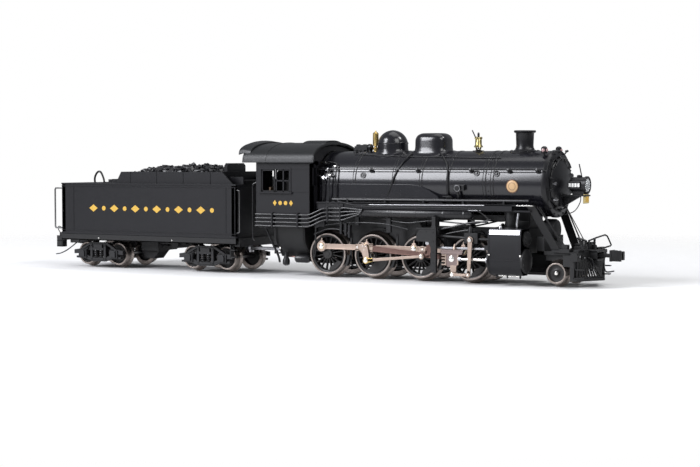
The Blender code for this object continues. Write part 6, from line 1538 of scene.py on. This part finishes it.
def tender_truck(end):
    """Archbar truck: bars, columns, journal boxes, coil springs, bolster and brake beam."""
    x, z, body = TRUCK_X[end], TENDER_R, f"tender_truck_{end}"
    piece = Piece(f"truck_{end}", body, "truck_black", body)
    for side in SIDES:
        s = lambda v: side * v
        normal = "Y" if side > 0 else "-Y"
        top = [(x - 6.8, z + 0.5), (x - 5.0, z + 0.75), (x - 2.3, z + 2.25), (x + 2.3, z + 2.25),
            (x + 5.0, z + 0.75), (x + 6.8, z + 0.5)]
        low = [(x - 6.8, z + 0.1), (x - 5.0, z + 0.2), (x - 2.0, z - 1.05), (x + 2.0, z - 1.05),
            (x + 5.0, z + 0.2), (x + 6.8, z + 0.1)]
        tie = [(x - 6.2, z - 0.8), (x - 3.4, z - 0.95), (x - 1.8, z - 1.5), (x + 1.8, z - 1.5),
            (x + 3.4, z - 0.95), (x + 6.2, z - 0.8)]
        for path, thick in ((top, 0.56), (low, 0.46), (tie, 0.42)):
            upper = [(px, pz + thick / 2) for px, pz in path]
            lower = [(px, pz - thick / 2) for px, pz in reversed(path)]
            piece.add(MOULDED, slab(upper + lower, s(6.55), s(7.3)))
        for way in (-1, 1):
            axle = x + way * HALF_WHEELBASE
            piece.add(MOULDED, block((axle - 1.1, axle + 1.1), (s(6.5), s(7.55)), (z - 0.95, z + 0.85)),
                      slab([(axle - 0.7, z - 0.7), (axle + 0.7, z - 0.7), (axle + 0.7, z + 0.35),
                      (axle + 0.4, z + 0.7), (axle - 0.4, z + 0.7), (axle - 0.7, z + 0.35)],
                           s(7.5), s(7.85)), block((axle - 0.8, axle + 0.8), (s(7.5), s(7.75)),
                           (z + 0.55, z + 0.75)),
                      block((x + way * 1.55, x + way * 2.15), (s(6.5), s(7.45)), (z - 1.4, z + 2.2)),
                      slab([(axle - 0.5 - way * 0.6, z + 1.0), (axle + 0.5 - way * 0.6, z + 0.9),
                      (axle + 0.2 - way * 1.0, z + 1.3)], s(6.6), s(7.2)))
            piece.add(TRIM, coil((x + way * 0.72, s(7.05)), 0.5, z - 0.95, z + 0.8, 4.0, 0.13))
            piece.add(UNDER, disc((x + way * 0.72, s(7.05)), 0.3, z - 0.95, z + 0.8, "Z", 12))
            piece.add(MOULDED, *[bolt((x + way * 1.85, s(7.45), zz), normal, 0.15, 0.12)
                for zz in (z - 1.1, z + 1.75)],
                      *[bolt((axle + dx, s(7.3), z + 0.95), normal, 0.12, 0.1) for dx in (-0.65, 0.65)])
            piece.add(PIN, bolt((x + way * 1.85, s(7.0), z + 2.5), "Z", 0.2, 0.22))
        piece.add(MOULDED, block((x - 1.5, x + 1.5), (s(6.5), s(7.5)), (z - 1.35, z - 0.95)),
            block((x - 1.5, x + 1.5), (s(6.5), s(7.5)), (z + 0.8, z + 1.3)),
                  block((x - 1.2, x + 1.2), (s(6.4), s(7.55)), (z + 1.3, z + 2.1)))
    piece.add(MOULDED, block((x - 1.0, x + 1.0), (-6.6, 6.6), (z + 0.95, z + 2.25)),
        washer((x, 0), 1.35, 0.72, z + 2.2, 5.55, "Z", 28),
              block((x - 0.6, x + 0.6), (-6.6, 6.6), (z - 1.35, z - 0.95)))
    for way in (-1, 1):
        piece.add(MOULDED, bar((x + way * 1.3, -5.8, z - 0.6), (x + way * 1.3, 5.8, z - 0.6), 0.2, 8))
    piece.done(0.04)


def pony_truck():
    piece = Piece("lead_truck", "pony_truck", "frame_black", "pony_truck")
    hub = (24.6, 0.0)
    piece.add(UNDER, block((25.5, 37.4), (-1.1, 1.1), (1.3, 1.9)),
        washer(hub, 1.35, 0.72, 1.3, 1.9, "Z", 32),
              *[block(x, (-3.3, 3.3), (1.3, 3.0)) for x in ((36.9, 37.5), (40.6, 41.2))])
    for side in SIDES:
        s = lambda v: side * v
        piece.add(UNDER, block((37.0, 38.4), (s(2.6), s(3.3)), (1.3, 3.0)),
            block((39.7, 41.1), (s(2.6), s(3.3)), (1.3, 3.0)),
                  block((38.2, 39.9), (s(2.6), s(3.3)), (2.72, 3.3)))
        piece.add(STEEL, coil((37.2, s(1.4)), 0.35, 3.0, 4.2, 3.0, 0.1))
    piece.done(0.05)


def drawbar():
    piece = Piece("draw_link", "drawbar", "frame_black", "drawbar")
    piece.add(STEEL, block((-32.3, -25.1), (-1.0, 1.0), (4.2, 4.8)),
        washer((-24.2, 0), 1.1, 0.6, 4.2, 4.8, "Z", 28), washer((-33.2, 0), 1.1, 0.6, 4.2, 4.8, "Z", 28))
    piece.done(0.05)


# ---------------------------------------------------------------- the model


boiler()
boiler_rails()
domes()
stack()
smokebox()
headlight()
bell_and_whistle()
turret()
cab()
cab_roof()
chassis_frames()
ashpan()
cylinders()
guide_yoke()
pilot()
for number in range(4):
    drivers(number)
for flank in SIDES:
    running_board(flank)
    side_rod(flank)
    main_rod(flank)
    return_crank(flank)
    eccentric_rod(flank)
    expansion_link(flank)
    crosshead(flank)
    lever_and_link(flank)
small_wheels("pony_wheels", "pony_wheelset", PONY_X, PONY_R, "pony_wheelset", 4.2, 0.5, True)
tender_axles = sorted((x + way * HALF_WHEELBASE for x in TRUCK_X.values() for way in (-1, 1)), reverse=True)
for number, axle_x in enumerate(tender_axles, 1):
    small_wheels(f"tender_wheels_{number}", f"tender_wheelset_{number}", axle_x, TENDER_R,
        f"tender_wheelset_{number}", 6.9, 0.35, False)
pony_truck()
drawbar()
coupler("front_coupler", "front_coupler", 44.1, 50.0, 1, FRONT_TRIP)
coupler("rear_coupler", "rear_coupler", -77.0, -81.5, -1, REAR_TRIP)
tender_tank()
coal()
tender_frame()
for which in TRUCK_X:
    tender_truck(which)
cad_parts["motor_shaft"].data.materials.clear()
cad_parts["motor_shaft"].data.materials.append(STEEL)


# ---------------------------------------------------------------- floor, light and camera


def studio():
    """Pale round floor that fades into the white behind it."""
    pale = finish("pale_floor", (0.86, 0.86, 0.86), 0.6, size=4.0, bump=0.02, dirt=0.02)
    nodes, links = pale.node_tree.nodes, pale.node_tree.links
    place, far, fade = nodes.new("ShaderNodeTexCoord"), nodes.new("ShaderNodeVectorMath"), nodes.new("ShaderNodeMapRange")
    far.operation = "LENGTH"
    links.new(place.outputs["Object"], far.inputs[0])
    fade.inputs["From Min"].default_value, fade.inputs["From Max"].default_value = FLOOR_FADE
    links.new(far.outputs["Value"], fade.inputs["Value"])
    clear, mix = nodes.new("ShaderNodeBsdfTransparent"), nodes.new("ShaderNodeMixShader")
    links.new(fade.outputs["Result"], mix.inputs["Fac"])
    links.new(nodes["Principled BSDF"].outputs["BSDF"], mix.inputs[1])
    links.new(clear.outputs["BSDF"], mix.inputs[2])
    links.new(mix.outputs["Shader"], nodes["Material Output"].inputs["Surface"])
    mesh = bpy.data.meshes.new("floor")
    rim = [(FLOOR_FADE[1] * cos(radians(a)), FLOOR_FADE[1] * sin(radians(a)), FLOOR_Z)
        for a in range(0, 360, 5)]
    mesh.from_pydata(rim, [], [tuple(range(len(rim)))])
    mesh.materials.append(pale)
    floor = bpy.data.objects.new("floor", mesh)
    bpy.context.scene.collection.objects.link(floor)


FLOOR_FADE, FLOOR_Z = (0.075, 0.2), -0.00055
AZIMUTH, DOWN = radians(30.26), radians(2.75)
CAMERA_PLACE = Vector((0.16672, -0.27354, 0.02334))
LENS_MM, SENSOR_MM = 79.8, 36.0
back = Vector((sin(AZIMUTH) * cos(DOWN), -cos(AZIMUTH) * cos(DOWN), sin(DOWN)))


def softbox(name, way, distance, size, power, colour=(1.0, 1.0, 1.0)):
    """A soft rectangular lamp facing the model from a direction."""
    lamp = bpy.data.lights.new(name, "AREA")
    lamp.shape = "RECTANGLE"
    lamp.size, lamp.size_y = size
    lamp.energy = power
    lamp.color = colour
    holder = bpy.data.objects.new(name, lamp)
    direction = Vector(way).normalized()
    holder.location = direction * distance + Vector((0, 0, 0.012))
    holder.rotation_euler = direction.to_track_quat("Z", "Y").to_euler()
    bpy.context.scene.collection.objects.link(holder)


def daylight():
    """White for the camera, and a softer grey for what the model's paint mirrors."""
    world = bpy.data.worlds.new("studio")
    bpy.context.scene.world = world
    world.use_nodes = True
    nodes, links = world.node_tree.nodes, world.node_tree.links
    seen, felt = nodes["Background"], nodes.new("ShaderNodeBackground")
    seen.inputs["Color"].default_value = (1.0, 1.0, 1.0, 1.0)
    seen.inputs["Strength"].default_value = 1.0
    felt.inputs["Color"].default_value = (0.93, 0.95, 1.0, 1.0)
    felt.inputs["Strength"].default_value = 0.3
    path, mix = nodes.new("ShaderNodeLightPath"), nodes.new("ShaderNodeMixShader")
    links.new(path.outputs["Is Camera Ray"], mix.inputs["Fac"])
    links.new(felt.outputs["Background"], mix.inputs[1])
    links.new(seen.outputs["Background"], mix.inputs[2])
    links.new(mix.outputs["Shader"], nodes["World Output"].inputs["Surface"])


studio()
daylight()
softbox("left_softbox", (-0.45, -0.75, 0.47), 0.55, (0.17, 0.34), 3.0, (0.94, 0.95, 1.0))
softbox("high_softbox", (-0.55, -0.54, 0.63), 0.55, (0.12, 0.12), 0.7, (0.95, 0.96, 1.0))
softbox("right_softbox", (0.75, -0.35, 0.62), 0.55, (0.24, 0.24), 0.9)
softbox("top_softbox", (0.05, 0.15, 1.0), 0.6, (0.5, 0.4), 1.0)
softbox("rear_softbox", (0.66, 0.21, 0.72), 0.6, (0.12, 0.12), 0.9)
camera_data = bpy.data.cameras.new("camera")
camera_data.lens = LENS_MM
camera_data.sensor_width = SENSOR_MM
camera_data.clip_start = 0.01
camera = bpy.data.objects.new("camera", camera_data)
camera.location = CAMERA_PLACE
camera.rotation_euler = back.to_track_quat("Z", "Y").to_euler()
bpy.context.scene.collection.objects.link(camera)
bpy.context.scene.camera = camera
bpy.context.scene.view_settings.view_transform = "Standard"
